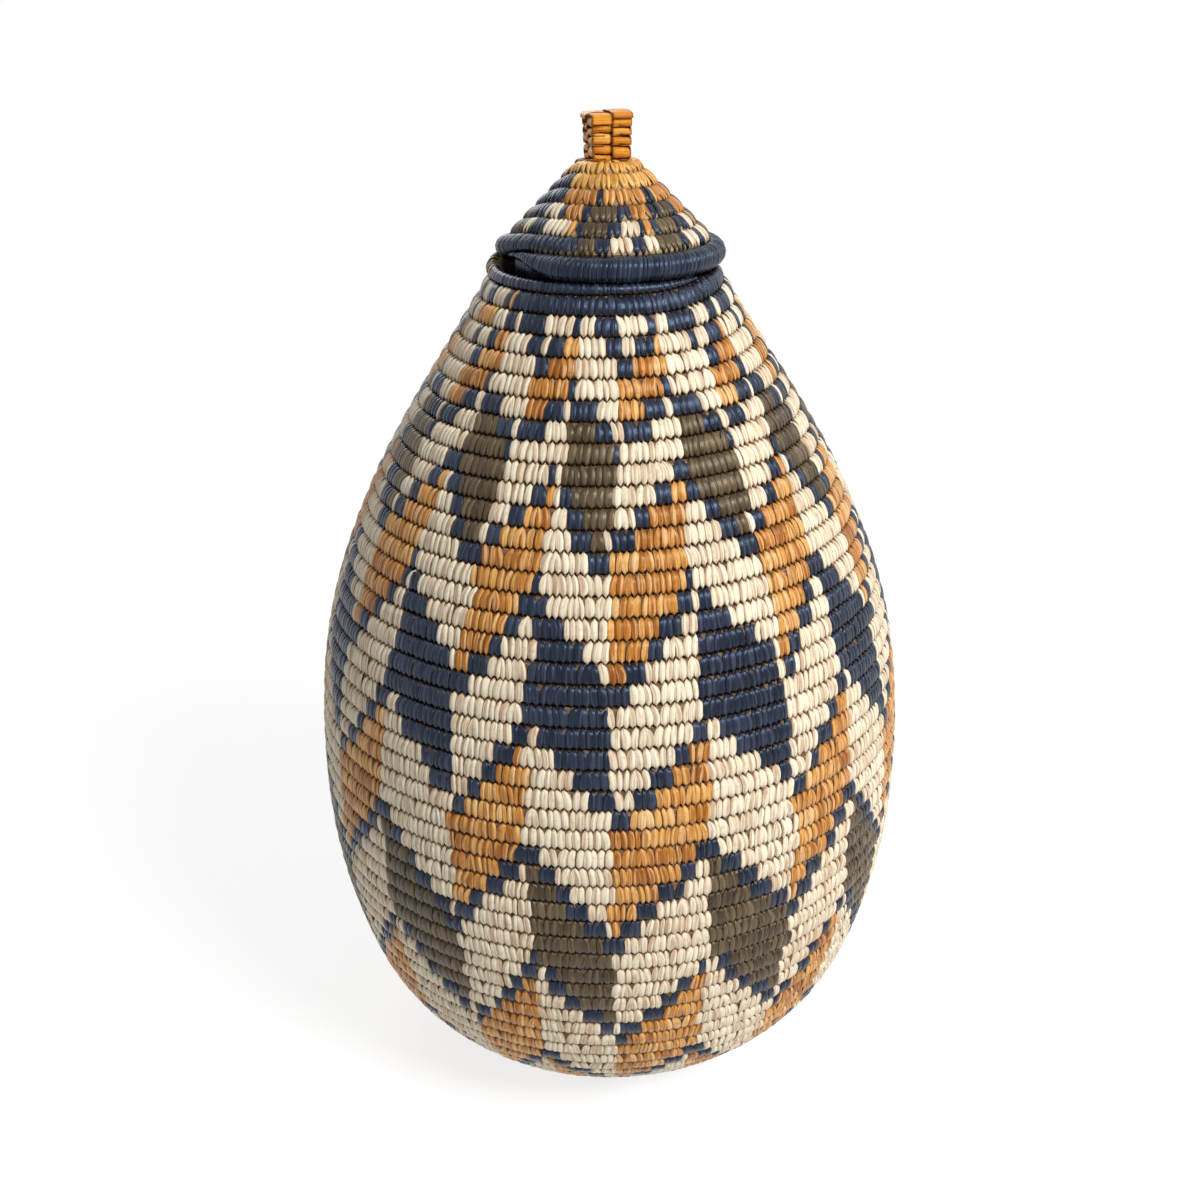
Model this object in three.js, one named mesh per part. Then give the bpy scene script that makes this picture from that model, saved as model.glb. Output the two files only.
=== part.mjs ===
// Lidded coiled basket: a pear-shaped body and a cone-shaped lid, both a grass bundle wound
// in rows and sewn row to row with palm-leaf strips, and a square plaited knob on the lid.
// Millimetres, +Z up, the origin under the middle of the flat base.
import * as THREE from "three";
import { mergeVertices } from "three/addons/utils/BufferGeometryUtils.js";

// Body outline: radius and height of the crest of the coil rows, from the base to the neck.
// The hip and the chest are stated by how much narrower they are than the belly.
const BASE_RADIUS = 58;
const TURN_RADIUS = 80;
const TURN_HEIGHT = 12;
const FOOT_RADIUS = 101.5;
const FOOT_HEIGHT = 37;
const HIP_INSET = 4;
const HIP_HEIGHT = 82;
const BELLY_RADIUS = 120;
const BELLY_HEIGHT = 132;
const CHEST_INSET = 6.7;
const CHEST_HEIGHT = 192;
const SHOULDER_RADIUS = 92.6;
const SHOULDER_HEIGHT = 247;
const NECK_RADIUS = 44;
const NECK_HEIGHT = 326;

// Coil rows of the body.
const COIL_PITCH = 7.55;
const COIL_DEPTH = 6.5;
const GROOVE_DEPTH = 1.7;
const ROW_SHOULDER = 1.3;
const BASE_START_RADIUS = 9;
const WALL_BANDS = 10;
const MOUTH_COIL_RADIUS = 3.1;

// How the body's coil winds: it climbs a row a turn to the right, and near the mouth most of
// the climb comes in one stretch, which levels the mouth. Degrees run from the front.
const NECK_ROW_HEIGHT = 6.3;
const CLIMB_FROM_DEG = 20;
const CLIMB_TO_DEG = 95;
const CLIMB_SHARE = 0.65;
const LEVELLED_TURNS = 5;

// Lid.
const LID_RIM_COIL_RADIUS = 4.2;
const LID_SLOPE_DEG = 44.5;
const LID_COIL_PITCH = 6.75;
const LID_COIL_DEPTH = 5.5;
const LID_GROOVE_DEPTH = 1.5;
const LID_START_RADIUS = 5.5;
const LID_CROWN_WIDTH = 13.5;
const COLLAR_CLEARANCE = 1.5;
const COLLAR_THICKNESS = 6;
const COLLAR_DEPTH = 15;
const COLLAR_ROWS = 2;

// Knob: four plaited columns under two straps, held by tails knotted inside the lid.
const KNOB_COLUMN_BASE = 6.2;
const KNOB_COLUMN_TOP = 6.7;
const KNOB_HEIGHT = 13.6;
const KNOB_FOLDS = 5;
const FOLD_GROOVE = 0.7;
const KNOB_TURN_DEG = 17.5;
const STRAP_THICKNESS = 1;
const STRAP_DROP = 2.2;
const TAIL_RADIUS = 2.8;
const TAIL_KNOT_RADIUS = 6;
const TAIL_KNOT_HEIGHT = 5;

// Shared clearances and facet counts.
const SEAT_GAP = 0.3;
const TAIL_CLEARANCE = 0.3;
const RING_SIDES = 36;
const SMALL_RING_SIDES = 20;
const ROUND_COIL_SIDES = 10;

const NATURAL = { color: 0xe9d9b8, roughness: 0.6, metalness: 0 };
const RUST = { color: 0xc5813c, roughness: 0.55, metalness: 0 };
const NAVY = { color: 0x20283f, roughness: 0.5, metalness: 0 };
const KNOB_TAN = { color: 0xc98a3e, roughness: 0.5, metalness: 0 };

const radians = THREE.MathUtils.degToRad;
const point = (radius, height) => new THREE.Vector2(radius, height);

// A solid of revolution about Z from a profile of (radius, height) points, outside upwards.
function turned(profile, sides, firstAngle = 0) {
  const geometry = new THREE.LatheGeometry(profile, sides, firstAngle);
  return geometry.rotateX(Math.PI / 2);
}

// A ring from a profile that closes on itself.
function ring(profile, sides = RING_SIDES) {
  return turned([...profile, profile[0]], sides);
}

// A round coil row: a ring of circular section.
function roundCoil(centre, radius) {
  const profile = [];
  for (let i = 0; i < ROUND_COIL_SIDES; i += 1) {
    const a = (2 * Math.PI * i) / ROUND_COIL_SIDES;
    profile.push(point(centre.x + radius * Math.cos(a), centre.y + radius * Math.sin(a)));
  }
  return ring(profile);
}

function piece(name, geometry, finish) {
  const mesh = new THREE.Mesh(geometry, new THREE.MeshStandardMaterial(finish));
  mesh.name = name;
  return mesh;
}

// The crest line of the body's rows as a smooth curve, with x the radius and y the height.
const bodyCurve = new THREE.CatmullRomCurve3(
  [
    [BASE_RADIUS, 0],
    [TURN_RADIUS, TURN_HEIGHT],
    [FOOT_RADIUS, FOOT_HEIGHT],
    [BELLY_RADIUS - HIP_INSET, HIP_HEIGHT],
    [BELLY_RADIUS, BELLY_HEIGHT],
    [BELLY_RADIUS - CHEST_INSET, CHEST_HEIGHT],
    [SHOULDER_RADIUS, SHOULDER_HEIGHT],
    [NECK_RADIUS, NECK_HEIGHT],
  ].map(([radius, height]) => new THREE.Vector3(radius, height, 0)),
);
bodyCurve.arcLengthDivisions = 800;
const wallLength = bodyCurve.getLength();
const wallRows = Math.round(wallLength / COIL_PITCH);

// A place on the crest line, and the same moved inwards along the line's normal.
function crest(length, inset = 0) {
  const u = THREE.MathUtils.clamp(length / wallLength, 0, 1);
  const at = bodyCurve.getPointAt(u);
  const along = bodyCurve.getTangentAt(u);
  return point(at.x - inset * along.y, at.y + inset * along.x);
}

// The outside of one row between two seams, as distances along the wall and insets from the
// crest line: the groove at its lower seam and its two shoulders.
function rowOutside(from, to, groove) {
  return [
    [from, groove],
    [from + ROW_SHOULDER, 0],
    [to - ROW_SHOULDER, 0],
  ];
}

// Rows [first, last) of the lid's sloping wall: rounded outside, smooth inside, with half a
// seat gap left at each end. place(length, inset) gives the wall's points.
function coilRows(place, pitch, first, last, depth, groove) {
  const start = first * pitch + SEAT_GAP / 2;
  const end = last * pitch - SEAT_GAP / 2;
  const profile = [];
  for (let row = first; row < last; row += 1) {
    for (const [length, inset] of rowOutside(row * pitch, (row + 1) * pitch, groove)) {
      profile.push(place(Math.max(length, start), inset));
    }
  }
  profile.push(place(end, groove), place(end, depth), place(start, depth));
  return ring(profile);
}

// Distance along the wall of the seam under a row of the body's coil. Rows count down from
// the neck, which is row 1, and a turn runs from -0.5 to 0.5, both at the back.
function bodySeam(row, turn) {
  const angle = THREE.MathUtils.euclideanModulo(turn * 360, 360);
  const late = THREE.MathUtils.smoothstep(angle, CLIMB_FROM_DEG, CLIMB_TO_DEG) * CLIMB_SHARE;
  const past = Math.max(0, (angle - CLIMB_TO_DEG) / (360 - CLIMB_TO_DEG));
  const uneven = late + past * (1 - CLIMB_SHARE) - angle / 360;
  const wound = turn + 1 - row;
  const levelled = THREE.MathUtils.clamp(1 + (wound + 0.5) / LEVELLED_TURNS, 0, 1);
  return wallLength - NECK_ROW_HEIGHT + (wallLength / wallRows) * (wound + levelled * uneven);
}

// The outside of the winding rows at one turn, cut off at two distances along the wall.
function windingOutside(turn, start, end) {
  const pitch = wallLength / wallRows;
  const lowest = wallRows - Math.floor(start / pitch) + 2;
  const highest = wallRows - Math.ceil(end / pitch) - 1;
  const line = [];
  for (let row = lowest; row >= highest; row -= 1) {
    line.push(...rowOutside(bodySeam(row, turn), bodySeam(row - 1, turn), GROOVE_DEPTH));
  }
  return line.map(([length, inset]) => {
    const cut = THREE.MathUtils.clamp(length, start, end);
    if (cut === length) return crest(length, inset);
    const next = line.findIndex(([far]) => far > cut);
    const [near, nearInset] = line[next - 1];
    const [far, farInset] = line[next];
    return crest(cut, THREE.MathUtils.mapLinear(cut, near, far, nearInset, farInset));
  });
}

// A band of the body's wall with flat ends, through which the rows wind. Its sections go once
// round, from the back to the back. Points that are cut off at an end fall together, and so do
// the first and the last section, so these vertices are merged.
function windingBand(first, last) {
  const pitch = wallLength / wallRows;
  const start = first * pitch + SEAT_GAP / 2;
  const end = last * pitch - SEAT_GAP / 2;
  const positions = [];
  const quads = [];
  for (let side = 0; side <= RING_SIDES; side += 1) {
    const turn = side / RING_SIDES - 0.5;
    const angle = 2 * Math.PI * turn;
    const outside = windingOutside(turn, start, end);
    const section = [...outside, crest(end, COIL_DEPTH), crest(start, COIL_DEPTH)];
    const here = positions.length / 3;
    const there = here + section.length;
    section.forEach((at, i) => {
      const next = (i + 1) % section.length;
      positions.push(at.x * Math.sin(angle), -at.x * Math.cos(angle), at.y);
      if (side < RING_SIDES) quads.push([here + i, there + i, there + next, here + next]);
    });
  }
  const open = new THREE.BufferGeometry();
  open.setAttribute("position", new THREE.Float32BufferAttribute(positions, 3));
  open.setIndex(quads.flatMap(([a, b, c, d]) => [a, b, c, a, c, d]));
  const geometry = mergeVertices(open);
  const corners = Array.from(geometry.index.array);
  const triangles = [];
  for (let i = 0; i < corners.length; i += 3) {
    const triangle = corners.slice(i, i + 3);
    if (new Set(triangle).size === 3) triangles.push(...triangle);
  }
  geometry.setIndex(triangles);
  geometry.computeVertexNormals();
  return geometry;
}

// The flat base: a start button, and rows round it with their crests flat on the ground.
function baseStart() {
  const edge = BASE_START_RADIUS - SEAT_GAP / 2;
  const profile = [point(0, 0), point(edge - GROOVE_DEPTH, 0), point(edge, GROOVE_DEPTH)];
  profile.push(point(edge, COIL_DEPTH), point(0, COIL_DEPTH));
  return turned(profile, SMALL_RING_SIDES);
}

function baseCoil() {
  const inner = BASE_START_RADIUS + SEAT_GAP / 2;
  const outer = BASE_RADIUS - SEAT_GAP;
  const rows = Math.round((outer - inner) / COIL_PITCH);
  const pitch = (outer - inner) / rows;
  const lean = bodyCurve.getTangentAt(0);
  const shift = (COIL_DEPTH * lean.y) / lean.x + SEAT_GAP;
  const profile = [point(inner, COIL_DEPTH), point(inner, GROOVE_DEPTH)];
  for (let row = 0; row < rows; row += 1) {
    const from = inner + row * pitch;
    profile.push(point(from + GROOVE_DEPTH, 0), point(from + pitch - GROOVE_DEPTH, 0));
    if (row < rows - 1) profile.push(point(from + pitch, GROOVE_DEPTH));
  }
  profile.push(point(outer - shift, COIL_DEPTH));
  return ring(profile);
}

// Everything above the neck is worked out from the wall's top end.
const wallTop = crest(wallLength, COIL_DEPTH / 2);
const wallTopDirection = bodyCurve.getTangentAt(1);
const mouthCentre = point(
  wallTop.x + wallTopDirection.x * (MOUTH_COIL_RADIUS + SEAT_GAP),
  wallTop.y + wallTopDirection.y * (MOUTH_COIL_RADIUS + SEAT_GAP),
);
const lidRimCentre = point(
  mouthCentre.x,
  mouthCentre.y + MOUTH_COIL_RADIUS + SEAT_GAP + LID_RIM_COIL_RADIUS,
);

// The lid's cone: a straight wall from its rim coil in to its start ring. The last half seat
// gap of the lower end comes from coilRows.
const lidAngle = radians(LID_SLOPE_DEG);
const lidFoot = point(
  lidRimCentre.x - Math.cos(lidAngle) * (LID_RIM_COIL_RADIUS + SEAT_GAP / 2),
  lidRimCentre.y + Math.sin(lidAngle) * (LID_RIM_COIL_RADIUS + SEAT_GAP / 2),
);
const lidNormal = point(Math.sin(lidAngle), Math.cos(lidAngle));
const lidInset = (LID_COIL_DEPTH / 2) * lidNormal.x;
const lidLength = (lidFoot.x - LID_START_RADIUS - lidInset) / Math.cos(lidAngle);
const lidRows = Math.round(lidLength / LID_COIL_PITCH);
const lidPitch = lidLength / lidRows;

function lidPlace(length, inset) {
  const off = LID_COIL_DEPTH / 2 - inset;
  return point(
    lidFoot.x - length * Math.cos(lidAngle) + off * lidNormal.x,
    lidFoot.y + length * Math.sin(lidAngle) + off * lidNormal.y,
  );
}

// Height of the cone's inner face at a radius.
function lidUnderside(radius) {
  const foot = lidPlace(0, LID_COIL_DEPTH);
  return foot.y + (foot.x - radius) * Math.tan(lidAngle);
}

// The start ring closes the cone's top and lets the knob's tails through.
const lidTop = lidPlace(lidLength, 0).y;
const lidStartFloor = lidTop - LID_COIL_DEPTH;
const lidHole = TAIL_RADIUS + TAIL_CLEARANCE;

function lidStart() {
  const edge = lidPlace(lidLength, LID_COIL_DEPTH).x - SEAT_GAP;
  const profile = [
    point(lidHole, lidStartFloor),
    point(edge, lidStartFloor),
    point(edge, lidTop - LID_GROOVE_DEPTH),
    point(edge - LID_GROOVE_DEPTH, lidTop),
    point(lidHole, lidTop),
  ];
  return ring(profile, SMALL_RING_SIDES);
}

// The collar hangs under the cone and stops the lid from sliding off the mouth.
function lidCollar() {
  const outer = mouthCentre.x - MOUTH_COIL_RADIUS - COLLAR_CLEARANCE;
  const inner = outer - COLLAR_THICKNESS;
  const seat = SEAT_GAP / Math.cos(lidAngle);
  const floor = lidUnderside(outer) - COLLAR_DEPTH;
  const pitch = COLLAR_DEPTH / COLLAR_ROWS;
  const profile = [point(inner, floor)];
  for (let row = 0; row < COLLAR_ROWS; row += 1) {
    const from = floor + row * pitch;
    profile.push(point(outer - LID_GROOVE_DEPTH, from), point(outer, from + pitch / 2));
  }
  profile.push(point(outer - LID_GROOVE_DEPTH, lidUnderside(outer - LID_GROOVE_DEPTH) - seat));
  profile.push(point(inner, lidUnderside(inner) - seat));
  return ring(profile);
}

// One plaited column: a square stack of folds, narrower at the foot. Every other column
// starts half a fold higher, as the strips interlock.
const knobFloor = lidTop + SEAT_GAP;
const knobTop = knobFloor + KNOB_HEIGHT;

function knobColumn(halfFoldUp) {
  const toCorner = Math.SQRT2 / 2;
  const fold = KNOB_HEIGHT / KNOB_FOLDS;
  const corner = (height, cut) => {
    const part = (height - knobFloor) / KNOB_HEIGHT;
    const side = THREE.MathUtils.lerp(KNOB_COLUMN_BASE, KNOB_COLUMN_TOP, part);
    return point((side - 2 * cut) * toCorner, height);
  };
  const profile = [point(0, knobFloor), corner(knobFloor, FOLD_GROOVE)];
  const first = halfFoldUp ? 0.5 : 1;
  for (let groove = first; groove < KNOB_FOLDS; groove += 1) {
    const height = knobFloor + groove * fold;
    profile.push(corner(height - fold / 4, 0), corner(height, FOLD_GROOVE));
    profile.push(corner(height + fold / 4, 0));
  }
  profile.push(corner(knobTop, FOLD_GROOVE), point(0, knobTop));
  return turned(profile, 4, Math.PI / 4);
}

// A strap laid over the columns' tops and folded down over the edges that drops name, from
// one edge at -reach to the other at +end. It runs along its own X and is width wide.
function strap(reach, end, width, dropAtEnd) {
  const outer = reach + SEAT_GAP + STRAP_THICKNESS;
  const inner = reach + SEAT_GAP;
  const under = SEAT_GAP;
  const over = SEAT_GAP + STRAP_THICKNESS;
  const far = dropAtEnd ? end + SEAT_GAP : end;
  const shape = new THREE.Shape();
  shape.moveTo(-outer, -STRAP_DROP);
  shape.lineTo(-inner, -STRAP_DROP);
  shape.lineTo(-inner, under);
  shape.lineTo(far, under);
  if (dropAtEnd) {
    shape.lineTo(far, -STRAP_DROP);
    shape.lineTo(far + STRAP_THICKNESS, -STRAP_DROP);
    shape.lineTo(far + STRAP_THICKNESS, over - STRAP_THICKNESS / 2);
    shape.lineTo(far, over);
  } else {
    shape.lineTo(far, over);
  }
  shape.lineTo(-inner, over);
  shape.lineTo(-outer, over - STRAP_THICKNESS / 2);
  shape.closePath();
  const geometry = new THREE.ExtrudeGeometry(shape, { depth: width, bevelEnabled: false });
  return geometry.rotateX(Math.PI / 2).translate(0, width / 2, 0);
}

// The four tails pass down through the start ring to a flat knot under it.
function tailKnot() {
  const knotTop = lidStartFloor - SEAT_GAP;
  const knotFloor = knotTop - TAIL_KNOT_HEIGHT;
  const round = TAIL_KNOT_HEIGHT / 4;
  const profile = [
    point(0, knotFloor),
    point(TAIL_KNOT_RADIUS - round, knotFloor),
    point(TAIL_KNOT_RADIUS, knotFloor + round),
    point(TAIL_KNOT_RADIUS, knotTop - round),
    point(TAIL_KNOT_RADIUS - round, knotTop),
    point(TAIL_RADIUS, knotTop),
    point(TAIL_RADIUS, lidTop),
    point(0, lidTop),
  ];
  return turned(profile, SMALL_RING_SIDES);
}

function makeBody() {
  const body = new THREE.Group();
  body.add(piece("base_start", baseStart(), NATURAL));
  body.add(piece("base_coil", baseCoil(), NATURAL));
  const bandRows = wallRows - 1;
  for (let band = 0; band < WALL_BANDS; band += 1) {
    const first = Math.round((band * bandRows) / WALL_BANDS);
    const last = Math.round(((band + 1) * bandRows) / WALL_BANDS);
    const name = "wall_coils_" + String(band + 1).padStart(2, "0");
    body.add(piece(name, windingBand(first, last), NATURAL));
  }
  body.add(piece("neck_coil", windingBand(bandRows, wallRows), NAVY));
  body.add(piece("mouth_coil", roundCoil(mouthCentre, MOUTH_COIL_RADIUS), NAVY));
  return body;
}

function makeKnob() {
  const knob = new THREE.Group();
  const half = (KNOB_COLUMN_TOP + SEAT_GAP) / 2;
  const columns = [
    ["knob_column_front_left", -half, -half, false],
    ["knob_column_front_right", half, -half, true],
    ["knob_column_back_right", half, half, false],
    ["knob_column_back_left", -half, half, true],
  ];
  for (const [name, x, y, halfFoldUp] of columns) {
    const column = piece(name, knobColumn(halfFoldUp), KNOB_TAN);
    column.position.set(x, y, 0);
    knob.add(column);
  }
  const edge = SEAT_GAP / 2 + KNOB_COLUMN_TOP;
  const long = piece("knob_long_strap", strap(edge, edge, KNOB_COLUMN_TOP, true), KNOB_TAN);
  long.rotation.z = Math.PI / 2;
  long.position.set(half, 0, knobTop);
  const crossWidth = 2 * KNOB_COLUMN_TOP + SEAT_GAP;
  const cross = piece("knob_cross_strap", strap(edge, -SEAT_GAP / 2, crossWidth, false), KNOB_TAN);
  cross.position.set(0, 0, knobTop);
  knob.add(long, cross);
  knob.rotation.z = radians(KNOB_TURN_DEG);
  return knob;
}

function makeLid() {
  const lid = new THREE.Group();
  const ridged = (first, last) =>
    coilRows(lidPlace, lidPitch, first, last, LID_COIL_DEPTH, LID_GROOVE_DEPTH);
  const patternRows = lidRows - Math.round(LID_CROWN_WIDTH / lidPitch);
  lid.add(piece("lid_rim_coil", roundCoil(lidRimCentre, LID_RIM_COIL_RADIUS), NAVY));
  lid.add(piece("lid_pattern_coils", ridged(0, patternRows), NATURAL));
  lid.add(piece("lid_crown_coils", ridged(patternRows, lidRows), RUST));
  lid.add(piece("lid_start", lidStart(), RUST));
  lid.add(piece("lid_collar_coils", lidCollar(), NAVY));
  lid.add(piece("knob_tail_knot", tailKnot(), KNOB_TAN));
  lid.add(makeKnob());
  // The lid rests to one side, as far over as its collar goes in the mouth.
  lid.position.x = COLLAR_CLEARANCE - SEAT_GAP;
  return lid;
}

const basket = new THREE.Group();
basket.add(makeBody(), makeLid());
export default basket;
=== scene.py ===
"""Lidded coiled basket: every row is a grass bundle wrapped with split palm-leaf strips, so
the looks are built as a bundle and as one closed strip for each stitch."""

import math

import bpy
import numpy as np
from mathutils import Matrix, Vector


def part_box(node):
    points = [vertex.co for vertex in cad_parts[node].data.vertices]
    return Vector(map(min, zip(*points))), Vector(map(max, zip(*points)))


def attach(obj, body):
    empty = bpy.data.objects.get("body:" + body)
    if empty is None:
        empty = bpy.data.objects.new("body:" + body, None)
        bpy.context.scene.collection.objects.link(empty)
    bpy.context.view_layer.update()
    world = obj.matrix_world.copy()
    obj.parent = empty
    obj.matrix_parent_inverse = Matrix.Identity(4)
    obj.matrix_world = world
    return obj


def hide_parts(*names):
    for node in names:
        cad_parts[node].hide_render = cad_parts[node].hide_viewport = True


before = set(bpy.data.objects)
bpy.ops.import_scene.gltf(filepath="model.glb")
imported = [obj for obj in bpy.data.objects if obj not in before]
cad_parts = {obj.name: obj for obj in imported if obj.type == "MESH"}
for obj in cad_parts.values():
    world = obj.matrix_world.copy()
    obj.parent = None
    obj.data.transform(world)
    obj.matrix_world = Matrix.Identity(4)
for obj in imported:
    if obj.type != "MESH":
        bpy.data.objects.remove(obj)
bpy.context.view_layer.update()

MM = 0.001
random = np.random.default_rng(7)

# Body outline as in the CAD part: radius and height in mm of the crest of the rows.
OUTLINE = [(58, 0), (80, 12), (101.5, 37), (116, 82), (120, 132), (113.3, 192), (92.6, 247), (44, 326)]
WALL_ROWS = 49
WALL_BANDS = 10
COIL_DEPTH = 6.5
BASE_RADIUS = OUTLINE[0][0]
BASE_START_RADIUS = 9

# How the body's rows wind: they climb to the right, and near the mouth mostly in one stretch,
# so that the mouth is level. Angles are in degrees from the front.
FIRST_SEAM = -6.3
CLIMB_FROM = 20
CLIMB_TO = 95
CLIMB_SHARE = 0.65
LEVELLED_TURNS = 5
LAST_ROW = 57
CENTRE_LEFT_OPEN = 1.5
# The mouth's upper edge over the crest line's end, and the bulge of undyed strips at its left.
MOUTH_EDGE = (
    [-180, -146, -138, -100, -92, 0, 30, 57, 95, 180],
    [4.7, 4.8, 6.8, 7.0, 5.2, 5.1, 4.5, 3.6, 3.6, 4.7],
)
PATCH_FROM = -140
PATCH_TO = -84
PATCH_LIFT = 2.4
PATCH_RISE = 14

# Lid, as in the CAD part. The coil winds inwards to the right, and climbs in one stretch.
LID_SLOPE = math.radians(44.5)
LID_DEPTH = 5.5
LID_ROWS = 6
LID_PATTERN_ROWS = 4
LID_START_RADIUS = 5.5
LID_CUT = -50
LID_CLIMB_FROM = -115
LID_CLIMB_TO = -48
LID_TOP_LOWER = 2.3
LID_END_PAST_TOP = 6
RIM_START = -70
RIM_FULL = -20
RIM_SEAT_RADIUS = 4.2
RIM_RADIUS = 4.6
RIM_INSET = 0.9
RIM_TIP_RADIUS = 0.8
RIM_BUNDLE_INSET = 0.4
# How many degrees the lid's bundle goes on past the start of its last turn.
LID_BUNDLE_PAST = 200
SEAT_GAP = 0.3
COLLAR_DEPTH = 15
COLLAR_ROWS = 2
COLLAR_THICKNESS = 6
COLLAR_CLEAR = 0.3
COLLAR_INSET = 0.4

# Stitches: their pitch in mm, and how much widths and tips stray, as shares of a stitch.
STITCH_PITCH = 2.5
LID_STITCH_PITCH = 2.3
RIM_STITCH_PITCH = 1.9
FEWEST_STITCHES = 7
FEWEST_LID_STITCHES = 9
STITCH_SPREAD = 0.17
SPREAD_LIMIT = 1.8
TIP_STRAY = 0.1
# A strip's section in mm: how far its sides and its very edges sink, and by which powers, and
# how far it stands proud or tilts at random.
CROWN = 0.14
CROWN_POWER = 2.2
EDGE_SINK = 0.26
EDGE_POWER = 6
RAISED = 0.06
RAISED_MOST = 0.13
TILT = 0.08
# So many neighbours come from one leaf, which gives this share of their tone.
ALIKE = 5
LEAF_SHARE = 0.6
# Where the coil runs out, its depth is at most this many times its height, and stitches and
# bundles end where a row is thinner than these, in mm.
DEPTH_TO_HEIGHT = 1.2
THINNEST_STITCH = 0.7
THINNEST_BUNDLE = 0.6
THINNEST_LID_STITCH = 1
THINNEST_LID_BUNDLE = 0.5
THINNEST_COLLAR = 0.8
# The grass bundle under the strips.
BUNDLE_INSET = 0.75
BUNDLE_SIDES = 12
BUNDLE_CLEAR = 0.05
BUNDLE_SQUARENESS = 0.7
BUNDLE_STEPS = 120

NATURAL, RUST, NAVY, BROWN, TAN = range(5)
SHORT = ["natural", "rust", "navy", "brown", "tan"]


def node_box(node):
    """Lowest and highest corner of a CAD node in mm."""
    low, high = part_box(node)
    return np.array(low) / MM, np.array(high) / MM


def smooth(value):
    value = np.clip(value, 0, 1)
    return value * value * (3 - 2 * value)


def signed_power(value, power):
    return np.sign(value) * np.abs(value) ** power


def take(keep, *arrays):
    return (values[keep] for values in arrays)


# Places taken from the frame

rim_low, rim_high = node_box("lid_rim_coil")
LID_AXIS = (rim_low[0] + rim_high[0]) / 2
RIM_CENTRE = ((rim_high[1] - rim_low[1]) / 2 - RIM_SEAT_RADIUS, (rim_low[2] + rim_high[2]) / 2)
collar_low, collar_high = node_box("lid_collar_coils")
COLLAR_RADIUS = (collar_high[1] - collar_low[1]) / 2
COLLAR_FLOOR = collar_low[2] + COLLAR_CLEAR
COLLAR_PITCH = (COLLAR_DEPTH - 2 * COLLAR_CLEAR) / COLLAR_ROWS
column_low, column_high = node_box("knob_column_front_left")
KNOB_FLOOR, KNOB_TOP = column_low[2], column_high[2]
KNOB_TURN = math.radians(13.5)
KNOB_HALF = 7.6


# Crest lines that the rows follow

CREST_STEPS = 300
CREST_POINTS = 4000


def catmull_rom(points, steps):
    """Centripetal Catmull-Rom points, with the ends mirrored as three.js does."""
    p = np.array(points, float)
    p = np.vstack([2 * p[0] - p[1], p, 2 * p[-1] - p[-2]])
    made = []
    for a, b, c, d in zip(p[:-3], p[1:-2], p[2:-1], p[3:], strict=True):
        t1 = math.dist(a, b) ** 0.5
        t2 = t1 + math.dist(b, c) ** 0.5
        t3 = t2 + math.dist(c, d) ** 0.5
        t = np.linspace(t1, t2, steps, endpoint=False)[:, None]
        ab = (t1 - t) / t1 * a + t / t1 * b
        bc = (t2 - t) / (t2 - t1) * b + (t - t1) / (t2 - t1) * c
        cd = (t3 - t) / (t3 - t2) * c + (t - t2) / (t3 - t2) * d
        abc = (t2 - t) / t2 * ab + t / t2 * bc
        bcd = (t3 - t) / (t3 - t1) * bc + (t - t1) / (t3 - t1) * cd
        made.append((t2 - t) / (t2 - t1) * abc + (t - t1) / (t2 - t1) * bcd)
    return np.vstack([*made, p[-2]])


class Crest:
    """A line in the (radius, height) plane, by distance along it and inset from it."""

    def __init__(self, line, start=0.0, rounding=2.0):
        steps = np.hypot(*np.diff(line, axis=0).T)
        along = np.concatenate([[0], np.cumsum(steps)])
        self.grid = np.linspace(0, along[-1], CREST_POINTS)
        self.radius = np.interp(self.grid, along, line[:, 0])
        self.height = np.interp(self.grid, along, line[:, 1])
        lean = np.arctan2(np.gradient(self.height), np.gradient(self.radius))
        reach = int(rounding / (self.grid[1] - self.grid[0])) * 2 + 1
        padded = np.pad(lean, reach // 2, mode="edge")
        self.lean = np.convolve(padded, np.full(reach, 1 / reach), mode="valid")
        self.grid = self.grid - start

    def place(self, distance, inset):
        """Radius and height. Past either end the line goes straight on."""
        inside = np.clip(distance, self.grid[0], self.grid[-1])
        over = distance - inside
        lean = np.interp(inside, self.grid, self.lean)
        radius = np.interp(inside, self.grid, self.radius) + over * np.cos(lean)
        height = np.interp(inside, self.grid, self.height) + over * np.sin(lean)
        return radius - inset * np.sin(lean), height + inset * np.cos(lean)


crest_line = catmull_rom(OUTLINE, CREST_STEPS)
body = Crest(np.vstack([[[0, 0]], crest_line]), start=BASE_RADIUS)
WALL_LENGTH = body.grid[-1]
ROW = WALL_LENGTH / WALL_ROWS

slope_in, slope_up = math.cos(LID_SLOPE), math.sin(LID_SLOPE)
FOOT_UP = RIM_SEAT_RADIUS + SEAT_GAP / 2
lid_foot = (RIM_CENTRE[0] - slope_in * FOOT_UP, RIM_CENTRE[1] + slope_up * FOOT_UP)
LID_LENGTH = (lid_foot[0] - LID_START_RADIUS - LID_DEPTH / 2 * slope_up) / slope_in
LID_ROW = LID_LENGTH / LID_ROWS
LID_END = LID_LENGTH + LID_END_PAST_TOP


def lid_crest(distance):
    """A point of the lid's straight slope, by distance up it from its foot."""
    radius = lid_foot[0] - distance * slope_in + LID_DEPTH / 2 * slope_up
    return radius, lid_foot[1] + distance * slope_up + LID_DEPTH / 2 * slope_in


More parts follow.
